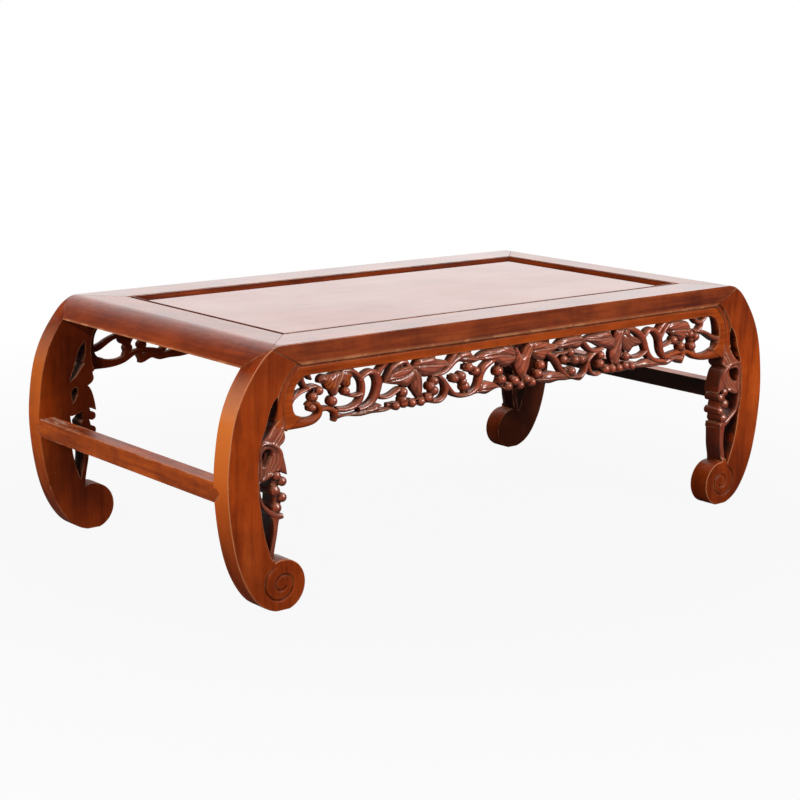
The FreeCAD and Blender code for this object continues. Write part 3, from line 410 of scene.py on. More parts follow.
def carveLeaf(relief, outline, rib, look):
    leaf = outlineOn(relief, outline)
    window, inside, edge = leaf["window"], leaf["inside"], leaf["edge"]
    fromRib = distanceTo(throughPoints(rib, False, lineSteps), leaf["x"], leaf["z"])
    away, side = fromRib["away"], fromRib["side"]
    height = look["edge"] + (look["crown"] - look["edge"]) * swelling(edge, look["swell"])
    height = height + look["tilt"] * side * np.clip(away / look["tiltReach"], 0, 1)
    height = height - look["ribDepth"] * np.exp(-(away / look["ribWidth"]) ** 2)
    spread = fromRib["along"] * look["fan"] + look["fanStart"]
    vein = side * away / spread / look["veinSpacing"] + 0.5
    offVein = np.abs(vein - np.round(vein)) * look["veinSpacing"] * spread
    veins = np.exp(-(offVein / look["veinWidth"]) ** 2) * np.clip(away / look["veinStart"], 0, 1)
    raiseTo(relief, window, inside,
            height - look["veinDepth"] * veins * np.clip(edge / look["veinEnd"], 0, 1))
    # the veins and the midrib painted dark: partly dust in the cuts, partly painted shade
    cut = np.maximum(veins, np.exp(-(away / look["ribCut"]) ** 2)) * look["darkVeins"]
    # paler on the ridges between the veins, a painted highlight, and a little paler all over from wear
    ridge = np.clip(2 * offVein / (look["veinSpacing"] * spread), 0, 1) ** 2
    pale = np.maximum(look["linePale"], look["ridgePale"] * ridge)
    relief["dark"][window] = np.where(inside, cut, relief["dark"][window])
    relief["line"][window] = np.where(inside, pale, relief["line"][window])


# A lobe polished back to the bare wood
def polishLobe(relief, outline, look):
    lobe = outlineOn(relief, outline)
    window = lobe["window"]
    inside = lobe["inside"] & (relief["height"][window] > untouched)
    rise = look["rise"] * swelling(lobe["edge"], look["swell"])
    relief["height"][window] += np.where(inside, rise, 0)
    relief["carving"][window] = np.where(inside, look["carving"], relief["carving"][window])


# A fine raised vein, painted pale: partly rubbed wear, partly a painted highlight along its crest
def carveVein(relief, points, look):
    line = throughPoints(points, False, lineSteps)
    window, gridX, gridZ = windowOf(relief, line, 3)
    share = np.exp(-(distanceTo(line, gridX, gridZ)["away"] / look["width"]) ** 2)
    share = np.where(relief["height"][window] > untouched, share, 0)
    relief["height"][window] += look["rise"] * share
    relief["line"][window] = np.maximum(relief["line"][window], look["pale"] * share)


# Scoops a hollow with soft sides
def scoop(relief, outline, depth, side):
    hollow = outlineOn(relief, outline)
    window = hollow["window"]
    fall = swelling(hollow["edge"], side)
    sheet = relief["height"][window]
    deeper = np.minimum(sheet, sheet * (1 - fall) + depth * fall)
    relief["height"][window] = np.where(hollow["inside"], deeper, sheet)


def carveVine(relief, points, look):
    line = throughPoints(points, False, lineSteps)
    window, gridX, gridZ = windowOf(relief, line, line[:, 2].max())
    near = distanceTo(line, gridX, gridZ)
    halfWidth = np.interp(near["place"], np.arange(len(line)), line[:, 2]) / 2
    height = roundOver(look, np.clip(near["away"] / halfWidth, 0, 1))
    raiseTo(relief, window, near["away"] < halfWidth + vineSkirt, height, look["carving"])


# Round grapes, each with a groove cut round it
def carveGrapes(relief, bunch, look):
    for x, z, radius in bunch:
        window, gridX, gridZ = windowOf(relief, [(x, z)], radius + 2)
        around = np.hypot(gridX - x, gridZ - z) < radius + look["groove"]
        sheet = relief["height"][window]
        relief["height"][window] = np.where(around, np.minimum(sheet, look["floor"]), sheet)
    for x, z, radius in bunch:
        window, gridX, gridZ = windowOf(relief, [(x, z)], radius + 1)
        away = np.minimum(np.hypot(gridX - x, gridZ - z), radius)
        height = look["top"] - radius + np.sqrt(radius ** 2 - away ** 2)
        raiseTo(relief, window, np.hypot(gridX - x, gridZ - z) < radius + look["skirt"], height)


def blurred(sheet, reach):
    for axis in (0, 1):
        for turn in range(2):
            margins = [(reach, reach) if a == axis else (0, 0) for a in (0, 1)]
            padded = np.pad(sheet, margins, mode="edge")
            total = np.cumsum(padded, axis=axis)
            total = np.insert(total, 0, 0, axis=axis)
            size = sheet.shape[axis]
            high = np.take(total, np.arange(2 * reach + 1, 2 * reach + 1 + size), axis=axis)
            low = np.take(total, np.arange(0, size), axis=axis)
            sheet = (high - low) / (2 * reach + 1)
    return sheet


# Where the carving is paler on its crests, from hands' polish and a painted highlight, and darker in its
# hollows, from wax, dust and painted shade
def shadeRelief(relief, look):
    sheet = relief["height"]
    reach = int(look["reach"] / relief["step"])
    relief["wearAndHighlight"] = np.clip((sheet - blurred(sheet, reach)) / look["wornRise"], 0, 1)
    relief["hollow"] = np.clip((blurred(sheet, reach) - sheet) / look["hollowDrop"], 0, 1)
    relief["carved"] = blurred(relief["carving"], int(look["blend"] / relief["step"]))


def sampled(relief, sheetName, x, z):
    sheet = relief[sheetName]
    column = np.clip((x - relief["x"][0]) / relief["step"], 0, sheet.shape[1] - 1.001)
    row = np.clip((z - relief["z"][0]) / relief["step"], 0, sheet.shape[0] - 1.001)
    left, low = column.astype(int), row.astype(int)
    right, up = column - left, row - low
    return (sheet[low, left] * (1 - right) * (1 - up) + sheet[low, left + 1] * right * (1 - up)
            + sheet[low + 1, left] * (1 - right) * up + sheet[low + 1, left + 1] * right * up)


leafLook = {"edge": -4.2, "crown": 0.2, "swell": 7.0, "ribDepth": 1.4, "ribWidth": 1.0,
            "tilt": 0.5, "tiltReach": 9.0, "veinDepth": 0.4, "veinWidth": 0.5, "veinSpacing": 0.75,
            "veinStart": 1.5, "veinEnd": 1.2, "fan": 0.2, "fanStart": 3.5,
            "ribCut": 0.6, "darkVeins": 1.0, "linePale": 0.1, "ridgePale": 0.3}
vineLook = {"edge": -5.5, "crown": -0.6, "carving": 1.0}
linkLook = {"edge": -8.5, "crown": -6.0, "carving": 1.0}
plainVines = {"corner scroll": 0.3, "corner scroll right": 0.3, "corner scroll curl": 0.6,
              "leaf curl": 0.5}
grapeLook = {"top": 1.4, "groove": 0.9, "floor": -6.0, "skirt": 0.3}
eyeLook = {"fold": [(-231, 250, 3), (-227, 257, 4), (-221, 264, 5), (-213, 269, 5), (-204, 271.5, 5),
                    (-196, 271, 4)],
           "foldHeights": {"edge": -3.0, "crown": 0.8, "carving": 1.0},
           "hollow": [(-224, 257), (-218, 263), (-210, 267), (-199, 269), (-196, 265), (-203, 262.5),
                      (-213, 260)],
           "depth": -6.5, "side": 2.5}
shadeLook = {"reach": 2.0, "wornRise": 1.1, "hollowDrop": 1.2, "blend": 1.5}
polishedLobes = [
    [(-318.1, 264.2), (-319.3, 256.1), (-315.8, 249.8), (-309.4, 248.5), (-305.3, 253.2),
     (-307.7, 261.8), (-312.9, 265.9)],
    [(-288.1, 268.1), (-291.0, 260.9), (-290.1, 253.2), (-284.2, 250.1), (-277.7, 255.0),
     (-277.2, 264.0), (-282.3, 268.9)]]
lobeRib = [(-293.7, 270.2), (-296.6, 261.6), (-300.7, 251.4), (-303.0, 242.3)]
lobeLook = {"swell": 2.5, "rise": 0.5, "carving": 0.2}
lobeRibLook = {"width": 1.1, "rise": 0.7, "pale": 0.9}
apronLook = {"step": 0.4, "end": 384, "low": 205, "high": 292, "depth": -7.0,
             "grooveLow": 283.6, "grooveDepth": 1.6}


def apronRelief():
    end, low, high = apronLook["end"], apronLook["low"], apronLook["high"]
    relief = blankRelief(-end, end, low, high, apronLook["step"])
    for name, outline in leafOutlines.items():
        carveLeaf(relief, outline, leafRibs[name], leafLook)
    for outline in polishedLobes:
        polishLobe(relief, outline, lobeLook)
    carveVein(relief, lobeRib, lobeRibLook)
    scoop(relief, eyeLook["hollow"], eyeLook["depth"], eyeLook["side"])
    carveVine(relief, eyeLook["fold"], eyeLook["foldHeights"])
    for name, points in vines.items():
        look = linkLook if name.startswith("grape row") else vineLook
        carveVine(relief, points, dict(look, carving=plainVines.get(name, 1.0)))
    for startX, startZ, endX, endZ, width in links:
        carveVine(relief, [(startX, startZ, width), (endX, endZ, width)], linkLook)
    carveGrapes(relief, grapes, grapeLook)
    # the plain band along the top and down both ends
    inner = throughPoints(apronBand[1:], False)
    lowest = throughPoints(apronEnd, False)[-1]
    for side in (-1, 1):
        ring = [(0, high), (side * end, high), (side * end, low)]
        ring += [(side * abs(x), z) for x, z in [lowest, *inner[::-1]]]
        ring = np.array(ring + [(0, apronBand[0][1])])
        window, gridX, gridZ = windowOf(relief, ring, 1)
        height = np.where(gridZ > apronLook["grooveLow"], -apronLook["grooveDepth"], 0.0)
        raiseTo(relief, window, insideOf(ring, gridX, gridZ), height, 0.0)
    fillOutwards(relief, apronLook["depth"])
    shadeRelief(relief, shadeLook)
    return relief


legLook = {"step": 0.4, "inner": 345, "outer": 462, "low": -3, "high": 316, "depth": -9.0,
           "cornerLow": 222, "scroll": 33, "spiralReach": 34, "spiralFade": 20,
           "spiralDepth": 1.7, "spiralWidth": 1.1, "sunk": 1.6, "sunkFrom": 3.0}
beadLook = {"width": 9.0, "skirt": 0.4, "low": 217, "edge": -2.2, "crown": 0.0, "carving": 0.35}
legBead = [(355.8, 285.6), (364, 278.7), (370.7, 271.7), (376.8, 262.6), (380.4, 255.3),
           (382.9, 242.5), (384.3, 228.5), (385.5, 219)]
legInside = [(400, 275), (396, 270), (354, 285.5), (354, 320)]       # closes the C at its head
cornerInside = [(410, 203), (415, 190), (420, 290)]                 # closes the corner over the C
scrollCentre = (382.0, 32.0)
spiralRun = [(80, 25.5), (30, 25), (-10, 24), (-50, 21.5), (-90, 18.8), (-140, 16.5), (-190, 14.5),
             (-235, 12), (-280, 10.5), (-325, 10.2), (-370, 10), (-415, 8.6), (-455, 7.2), (-500, 6.2)]
fanLook = dict(leafLook, edge=-3.0, crown=0.6, ribDepth=0.0, veinDepth=0.0, darkVeins=0.0,
               ridgePale=0.0)
curledLook = dict(fanLook, crown=0.4, tilt=-1.0)
fanVeins = [
    [(399.4, 207.3), (392.4, 217.2), (385.7, 225.3), (380.4, 229.8)],
    [(392.9, 200.1), (387.8, 206.3), (383.1, 212.1), (380.5, 218.2)],
    [(390.2, 197.3), (384.7, 203.2), (380.8, 209.1), (377.4, 212.8)],
    [(388.3, 195.3), (382.4, 199.0), (377.0, 203.1)]]
curlVeins = [
    [(386.8, 186.7), (386.9, 177.6), (392.6, 169.3), (397.3, 163.6)],
    [(391.0, 187.3), (391.8, 178.3), (398.1, 168.9), (401.5, 162.9)],
    [(395.7, 184.1), (398.0, 175.4), (404.2, 164.7), (407.4, 158.7)]]
veinLook = {"width": 0.7, "rise": 0.7, "pale": 1.0}
curlVeinLook = {"width": 0.6, "rise": 0.5, "pale": 0.5}
stemLook = {"edge": -5.0, "crown": -1.5, "carving": 1.0}
curlLook = {"mouth": [(408.5, 159), (409.9, 169.5), (409.9, 183.7), (407.9, 192), (401.7, 195.5),
                      (394.1, 194), (387.9, 188.8), (385.3, 181.2), (386, 173.5), (389.6, 166.3),
                      (394.2, 162.5), (399.6, 163.5), (404.3, 160)],
            "mouthDepth": -3.2, "mouthSide": 3.0,
            "throat": [(407.8, 176), (407.5, 189.5), (401, 193.5), (394.5, 191), (394, 184.5),
                       (399, 177.5), (403.5, 173)],
            "throatDepth": -10.0, "throatSide": 4.5,
            "rim": [(411.8, 184, 4), (411, 195.5, 5), (406.6, 200.3, 5.5), (396.3, 199.2, 6),
                    (387.1, 193.2, 6), (382.8, 184.7, 6), (383.3, 175.7, 5.5), (386.9, 168.5, 4.5),
                    (391.5, 163.5, 3)],
            "rimHeights": {"edge": -2.0, "crown": 1.4, "carving": 1.0}}


def legRelief(sideName):
    lean = bracketLean[sideName]

    def leaned(points):
        return [((point[0] if point[0] > bracketRoot else point[0] - lean),) + tuple(point[1:])
                for point in points]

    relief = blankRelief(legLook["inner"], legLook["outer"], legLook["low"], legLook["high"],
                         legLook["step"])
    carveLeaf(relief, leaned(curledLeaf), curledRib, curledLook)
    scoop(relief, leaned(curlLook["mouth"]), curlLook["mouthDepth"], curlLook["mouthSide"])
    for vein in curlVeins:
        carveVein(relief, leaned(vein), curlVeinLook)
    scoop(relief, leaned(curlLook["throat"]), curlLook["throatDepth"], curlLook["throatSide"])
    carveVine(relief, leaned(curlLook["rim"]), curlLook["rimHeights"])
    carveLeaf(relief, fanLeaf, fanRib, fanLook)
    for vein in fanVeins:
        carveVein(relief, vein, veinLook)
    carveVine(relief, leaned(bunchStalk), linkLook)
    carveGrapes(relief, leaned(bracketGrapes), grapeLook)
    carveVine(relief, leaned(vineBorder), vineLook)
    carveVine(relief, stems[sideName], stemLook)
    outer, inner = throughPoints(outerCurve, False), throughPoints(innerCurve, False)
    ring = np.vstack([outer, [scrollCentre], inner, legInside])
    window, gridX, gridZ = windowOf(relief, ring, 1)
    raiseTo(relief, window, insideOf(ring, gridX, gridZ), 0.0, 0.0)
    # the corner above the carving is flat up to its bead
    corner = np.array([(354, 285.5), *legBead, *cornerInside])
    window, gridX, gridZ = windowOf(relief, corner, 1)
    flat = insideOf(corner, gridX, gridZ) & (gridZ > legLook["cornerLow"])
    raiseTo(relief, window, flat, 0.0, 0.0)
    window, gridX, gridZ = windowOf(relief, legBead, beadLook["width"])
    away = distanceTo(throughPoints(legBead, False, lineSteps), gridX, gridZ)["away"]
    bead = roundOver(beadLook, np.clip(away / (beadLook["width"] / 2), 0, 1))
    inBead = (away < beadLook["width"] / 2 + beadLook["skirt"]) & (gridZ > beadLook["low"])
    relief["height"][window] = np.where(inBead, bead, relief["height"][window])
    relief["carving"][window] = np.where(inBead, beadLook["carving"], relief["carving"][window])
    # the scroll: a flat disc with a spiral cut into it
    window, gridX, gridZ = windowOf(relief, [scrollCentre], legLook["spiralReach"])
    disc = np.hypot(gridX - scrollCentre[0], gridZ - scrollCentre[1]) < legLook["scroll"]
    raiseTo(relief, window, disc, 0.0, 0.0)
    spiral = [(scrollCentre[0] + radius * math.cos(math.radians(turn)),
               scrollCentre[1] + radius * math.sin(math.radians(turn))) for turn, radius in spiralRun]
    near = distanceTo(throughPoints(spiral, False), gridX, gridZ)
    fillOutwards(relief, legLook["depth"])
    groove = np.clip(near["along"] / legLook["spiralFade"], 0, 1)
    groove = groove * np.exp(-(near["away"] / legLook["spiralWidth"]) ** 2)
    relief["height"][window] -= legLook["spiralDepth"] * groove
    # the carving lies a little lower than the sawn face
    raised = np.clip((relief["height"] + legLook["sunkFrom"]) / legLook["sunkFrom"], 0, 1)
    relief["height"] -= legLook["sunk"] * raised * relief["carving"]
    relief["height"] = np.minimum(relief["height"], 0.0)
    shadeRelief(relief, shadeLook)
    return relief


def pickOnly(*things):
    bpy.ops.object.select_all(action="DESELECT")
    for thing in things:
        thing.select_set(True)
    bpy.context.view_layer.objects.active = things[0]


# Runs mesh tools over the whole of a piece
def editAll(piece, *tools):
    pickOnly(piece)
    bpy.ops.object.mode_set(mode="EDIT")
    bpy.ops.mesh.select_all(action="SELECT")
    for tool, settings in tools:
        tool(**settings)
    bpy.ops.object.mode_set(mode="OBJECT")


def applyModifier(piece, kind, **settings):
    pickOnly(piece)
    modifier = piece.modifiers.new(kind.lower(), kind)
    for key, value in settings.items():
        setattr(modifier, key, value)
    bpy.ops.object.modifier_apply(modifier=modifier.name)


def smoothPiece(piece, degrees):
    pickOnly(piece)
    bpy.ops.object.shade_smooth_by_angle(angle=math.radians(degrees))


def ownCopy(thing, name):
    copy = bpy.data.objects.new(name, thing.data.copy())
    copy.data.name = name
    bpy.context.collection.objects.link(copy)
    return copy


# A copy of a CAD node's shape as one closed skin, with its facets merged
def copyOfNode(nodeName, pieceName):
    piece = ownCopy(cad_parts[nodeName], pieceName)
    piece.data.materials.clear()
    pickOnly(piece)
    bpy.ops.mesh.customdata_custom_splitnormals_clear()
    editAll(piece, (bpy.ops.mesh.remove_doubles, {"threshold": 0.01 * mm}))
    return piece


planedLook = {"arris": 0.6 * mm, "segments": 2, "flat": math.radians(0.6), "corner": 40}


# Planed and sanded members: the CAD shape with its arrises eased
def planedPiece(nodeName, pieceName, look, channel):
    piece = copyOfNode(nodeName, pieceName)
    editAll(piece, (bpy.ops.mesh.dissolve_limited, {"angle_limit": look["flat"]}))
    if channel:
        cutChannel(piece, channel)
    applyModifier(piece, "BEVEL", width=look["arris"], segments=look["segments"],
                  limit_method="ANGLE", angle_limit=math.radians(look["corner"]),
                  use_clamp_overlap=True)
    smoothPiece(piece, look["corner"])
    applyModifier(piece, "WEIGHTED_NORMAL", mode="FACE_AREA_WITH_ANGLE", weight=60, keep_sharp=True)
    finishPiece(piece, nodeName)
    return piece


def cutChannel(piece, channel):
    bpy.ops.mesh.primitive_cube_add(size=1, location=channel["middle"])
    cutter = bpy.context.object
    cutter.scale = channel["size"]
    bpy.ops.object.transform_apply(location=True, rotation=True, scale=True)
    applyModifier(piece, "BOOLEAN", operation="DIFFERENCE", object=cutter, solver="MANIFOLD")
    bpy.data.objects.remove(cutter)
    piece.data.materials.clear()


def finishPiece(piece, nodeName):
    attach(piece, "root")
    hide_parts(nodeName)


# Rounds the edge between a board's sawn face and its walls
def easeRim(board, look):
    editAll(board, (bpy.ops.mesh.dissolve_limited, {"angle_limit": math.radians(0.4)}),
            (bpy.ops.mesh.select_all, {"action": "DESELECT"}))
    mesh = board.data
    atFace = [abs(vertex.co.y - look["face"]) < 0.02 * mm for vertex in mesh.vertices]
    normals = {}
    for polygon in mesh.polygons:
        for key in polygon.edge_keys:
            normals.setdefault(key, []).append(polygon.normal)
    for edge in mesh.edges:
        sides = normals.get(edge.key, [])
        bent = len(sides) == 2 and sides[0].angle(sides[1]) > math.radians(look["corner"])
        if bent and atFace[edge.vertices[0]] and atFace[edge.vertices[1]]:
            edge.select = True
    bpy.ops.object.mode_set(mode="EDIT")
    bpy.ops.mesh.select_mode(type="EDGE")
    bpy.ops.mesh.bevel(offset=look["arris"], segments=look["rimSegments"], affect="EDGES",
                       clamp_overlap=False)
    bpy.ops.mesh.select_mode(type="VERT")
    bpy.ops.object.mode_set(mode="OBJECT")


# A board whose face is a fine grid, cut to the outline of the sawn one
def fineBoard(nodeName, pieceName, look):
    board = copyOfNode(nodeName, pieceName + "_sawn")
    easeRim(board, look)
    low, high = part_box(nodeName)
    cell = look["cell"]
    wide, tall = high.x - low.x + 4 * cell, high.z - low.z + 4 * cell
    bpy.ops.mesh.primitive_grid_add(
        x_subdivisions=int(wide / cell), y_subdivisions=int(tall / cell), size=1,
        location=((low.x + high.x) / 2, look["face"] + look["skin"], (low.z + high.z) / 2),
        rotation=(math.pi / 2, 0, 0))
    piece = bpy.context.object
    piece.name = pieceName
    piece.data.name = pieceName
    piece.scale = (wide, tall, 1)
    pickOnly(piece)
    bpy.ops.object.transform_apply(location=True, rotation=True, scale=True)
    through = {"value": (0, 2 * look["thickness"], 0)}
    editAll(piece, (bpy.ops.mesh.extrude_region_move, {"TRANSFORM_OT_translate": through}),
            (bpy.ops.mesh.select_all, {"action": "SELECT"}),
            (bpy.ops.mesh.normals_make_consistent, {"inside": False}))
    applyModifier(piece, "BOOLEAN", operation="INTERSECT", object=board, solver="MANIFOLD")
    bpy.data.objects.remove(board)
    piece.data.materials.clear()
    return piece


def valuesOf(things, name):
    values = np.empty(len(things) * 3)
    things.foreach_get(name, values)
    return values.reshape(-1, 3)


def onRelief(places, look):
    return places[:, 0] / mm * look["mirror"], places[:, 2] / mm


# A sawn board with its outer face carved. The relief pushes it in, less and less
# through the board, and leaves marks for the finishes: wear and a painted highlight on the crests,
# dust and painted shade in the hollows, and how far it is carved
def carvedPiece(nodeName, pieceName, relief, look):
    piece = fineBoard(nodeName, pieceName, look)
    places = valuesOf(piece.data.vertices, "co")
    x, z = onRelief(places, look)
    depth = np.maximum(places[:, 1] - look["face"], 0)
    places[:, 1] -= sampled(relief, "height", x, z) * mm * np.clip(1 - depth / look["reach"], 0, 1)
    piece.data.vertices.foreach_set("co", places.ravel())
    onFace = depth < 0.1 * mm
    onRim = ~onFace & (depth < look["arris"] * 1.1)
    carvedWall = (depth > look["arris"] * 2) & look["wallZone"](x, z)
    carvedShare = np.where(onFace | onRim, sampled(relief, "carved", x, z), carvedWall * 1.0)
    flatRim = (onRim | (onFace & (depth > look["skin"] * 2))) & (carvedShare < 0.5)
    rubbedAndLit = np.maximum(sampled(relief, "wearAndHighlight", x, z) * look["crestWearAndHighlight"],
                        sampled(relief, "line", x, z))
    # darker in the hollows and on the pierced walls: partly dust and wax, partly painted shade
    deep = np.maximum(sampled(relief, "hollow", x, z), sampled(relief, "dark", x, z))
    dustAndShadeMarks = np.where(carvedWall, look["wallDustAndShade"], np.where(onFace, deep, 0.0))
    marks = {"wearAndHighlight": np.where(onFace, rubbedAndLit, 0.0), "hollow": dustAndShadeMarks, "carved": carvedShare,
             "rim": flatRim * 1.0}
    for name, values in marks.items():
        attribute = piece.data.attributes.new(name, "FLOAT", "POINT")
        attribute.data.foreach_set("value", values.astype(np.float32))
    piece.data.update()
    # slot 0 is the sawn face, 1 the carving and 2 the pierced walls
    centres = valuesOf(piece.data.polygons, "center")
    x, z = onRelief(centres, look)
    onFace = centres[:, 1] < look["face"] + look["faceReach"]
    slot = np.where(onFace, sampled(relief, "carving", x, z) > 0.5, 2 * look["wallZone"](x, z))
    piece.data.polygons.foreach_set("material_index", slot.astype(np.int32))
    smoothPiece(piece, look["smooth"])
    return piece


boardLook = {"cell": 0.7 * mm, "skin": 0.02 * mm, "arris": 0.9 * mm, "rimSegments": 2, "corner": 40,
             "crestWearAndHighlight": 0.12, "smooth": 42, "mirror": 1, "wallDustAndShade": 0.5}
apronBoard = dict(boardLook, face=-228.5 * mm, thickness=12 * mm, reach=11 * mm, faceReach=7 * mm,
                  wallZone=lambda x, z: z < 284)
legBoard = dict(boardLook, face=-230.5 * mm, thickness=29 * mm, reach=24 * mm, faceReach=8 * mm,
                wallZone=lambda x, z: (z > 58) & (z < 275) & (x < 416))

carved = {}
carved["apron_front"] = carvedPiece("apron_front", "apron_front_carved", apronRelief(), apronBoard)
print("front apron carved:", len(carved["apron_front"].data.polygons), "faces")
carved["apron_back"] = ownCopy(carved["apron_front"], "apron_back_carved")
carved["apron_back"].data.transform(Matrix.Rotation(math.pi, 4, "Z"))
for sideName, mirror in (("left", -1), ("right", 1)):
    node, backNode = "leg_front_" + sideName, "leg_back_" + sideName
    carved[node] = carvedPiece(node, node + "_carved", legRelief(sideName),
                               dict(legBoard, mirror=mirror))
    print(sideName, "leg carved:", len(carved[node].data.polygons), "faces")
    backLeg = carved[backNode] = ownCopy(carved[node], backNode + "_carved")
    backLeg.data.transform(Matrix.Scale(-1, 4, Vector((0, 1, 0))))
    editAll(backLeg, (bpy.ops.mesh.normals_make_consistent, {"inside": False}))
    smoothPiece(backLeg, boardLook["smooth"])
for node, piece in carved.items():
    finishPiece(piece, node)

opening = {"x": 333.2 * mm, "y": 167.8 * mm}      # half the opening in the frame
frameTop = 312 * mm
channelLook = {"bead": 2.2 * mm, "width": 4.8 * mm, "depth": 1.4 * mm, "length": 1.2}


# The cutter for the channel round the panel, along one side of the frame
def channelOf(axis, side):
    middle = [0.0, 0.0, frameTop]
    size = [channelLook["length"], channelLook["length"], 2 * channelLook["depth"]]
    index = "xy".index(axis)
    middle[index] = side * (opening[axis] + channelLook["bead"] + channelLook["width"] / 2)
    size[index] = channelLook["width"]
    return {"middle": middle, "size": size}


planed = {}
for node, channel in (("top_rail_front", channelOf("y", -1)), ("top_rail_back", channelOf("y", 1)),
                      ("top_end_left", channelOf("x", -1)), ("top_end_right", channelOf("x", 1)),
                      ("top_panel", None), ("stretcher_left", None), ("stretcher_right", None)):
    planed[node] = planedPiece(node, node + "_planed", planedLook, channel)
    planed[node].visible_glossy = False      # keeps the top's sheen free of dark bands
    print(node, "planed:", len(planed[node].data.polygons), "faces")


# Adds a shader node. A feed is a node with the name or number of its output
def addNode(tree, kind, feeds=None, **settings):
    node = tree.nodes.new(kind)
    for key, value in settings.items():
        setattr(node, key, value)
    for socket, value in (feeds or {}).items():
        if isinstance(value, tuple) and len(value) == 2 and hasattr(value[0], "outputs"):
            tree.links.new(value[0].outputs[value[1]], node.inputs[socket])
        else:
            node.inputs[socket].default_value = value
    return node


def emptyTree(owner):
    owner.use_nodes = True
    owner.node_tree.nodes.clear()
    return owner.node_tree


def addRamp(tree, feed, stops):
    ramp = addNode(tree, "ShaderNodeValToRGB", {"Fac": feed})
    while len(ramp.color_ramp.elements) < len(stops):
        ramp.color_ramp.elements.new(0.5)
    for element, (place, colour) in zip(ramp.color_ramp.elements, stops):
        element.position = place
        element.color = tuple(colour) + (1.0,)
    return ramp, 0


def addMix(tree, share, first, second, blend="MIX"):
    mix = addNode(tree, "ShaderNodeMix", data_type="RGBA", blend_type=blend)
    for index, value in ((0, share), (6, first), (7, second)):
        if isinstance(value, tuple) and hasattr(value[0], "outputs"):
            tree.links.new(value[0].outputs[value[1]], mix.inputs[index])
        else:
            mix.inputs[index].default_value = value if index == 0 else tuple(value) + (1.0,)
    return mix, 2


def addMath(tree, operation, first, second=0.0, clamp=False):
    return addNode(tree, "ShaderNodeMath", {0: first, 1: second}, operation=operation,
                   use_clamp=clamp), 0


def addProduct(tree, *feeds):
    product = feeds[0]
    for feed in feeds[1:]:
        product = addMath(tree, "MULTIPLY", product, feed)
    return product


def addVector(tree, operation, first, second=(0.0, 0.0, 0.0), output=0):
    return addNode(tree, "ShaderNodeVectorMath", {0: first, 1: second}, operation=operation), output


# Fades from one value to another while the feed goes through a span
def addFade(tree, feed, span, values=(0.0, 1.0), **settings):
    ends = {"Value": feed, "From Min": span[0], "From Max": span[1], "To Min": values[0],
            "To Max": values[1]}
    return addNode(tree, "ShaderNodeMapRange", ends, **settings), 0


def addNoise(tree, place, scale, detail, **feeds):
    return addNode(tree, "ShaderNodeTexNoise", {"Vector": place, "Scale": scale, "Detail": detail,
                                                **feeds}), 0


def addMark(tree, name):
    return addNode(tree, "ShaderNodeAttribute", attribute_name=name), "Fac"


def addAxis(tree, feed, axis):
    return addNode(tree, "ShaderNodeSeparateXYZ", {"Vector": feed}), axis


# Patches of a noise: a narrow span gives them a hard edge
def addPatches(tree, noise, span):
    return addRamp(tree, noise, [(span[0], black), (span[1], white)])


black, white = (0, 0, 0), (1, 1, 1)
metresToRamp = 3.2      # a ramp of heights runs over the table's 312 mm


# Dark lines: wax in the joints, and painted shade in the frame's channel and at its foot on the panel. A
# seam is where its planes meet, the same in all four corners
def seamShade(tree, place, seams):
    allCorners = addVector(tree, "ABSOLUTE", place)
    darkest = 0.0
    for seam in seams:
        fromSeam = addVector(tree, "SUBTRACT", allCorners, seam["through"])
        squares = 0.0
        for normal in seam["normals"]:
            away = addVector(tree, "DOT_PRODUCT", fromSeam, normal, "Value")
            squares = addMath(tree, "ADD", addProduct(tree, away, away), squares)
        distance = addMath(tree, "SQRT", squares)
        near = addFade(tree, distance, (0.0, seam["width"]), (seam["shade"], 0.0))
        darkest = addMath(tree, "MAXIMUM", addMath(tree, "MINIMUM", near, 1.0), darkest)
    return darkest


def knotShade(tree, place, knots):
    darkest = 0.0
    for x, y, radius in knots:
        away = addVector(tree, "DISTANCE", place, (x, y, panelTop), "Value")
        near = addFade(tree, away, (0.0, radius), (knotDark, 0.0), interpolation_type="SMOOTHSTEP")
        darkest = addMath(tree, "MAXIMUM", near, darkest)
    return darkest


grainTurns = {"X": (0, 0, 0), "Y": (0, 0, -math.pi / 2), "Z": (0, math.pi / 2, 0)}


# The grain's own place: along X, and bent a little
def grainPlace(tree, place, look):
    turned = addNode(tree, "ShaderNodeMapping", {
        "Vector": place, "Rotation": grainTurns[look["grain"]], "Location": look["shift"]}), 0
    wander = addNode(tree, "ShaderNodeTexNoise", {"Vector": turned, "Scale": 3.0, "Detail": 2.0})
    bent = addNode(tree, "ShaderNodeVectorMath", {0: (wander, "Color"), "Scale": look["wander"]},
                   operation="SCALE")
    return addVector(tree, "ADD", turned, (bent, 0))


def grainNoise(tree, grain, alongScale, acrossScale, detail, distortion=0.0):
    stretched = addNode(tree, "ShaderNodeMapping", {
        "Vector": grain, "Scale": (alongScale, acrossScale, acrossScale)})
    return addNoise(tree, (stretched, 0), 1.0, detail, Roughness=0.6, Distortion=distortion)


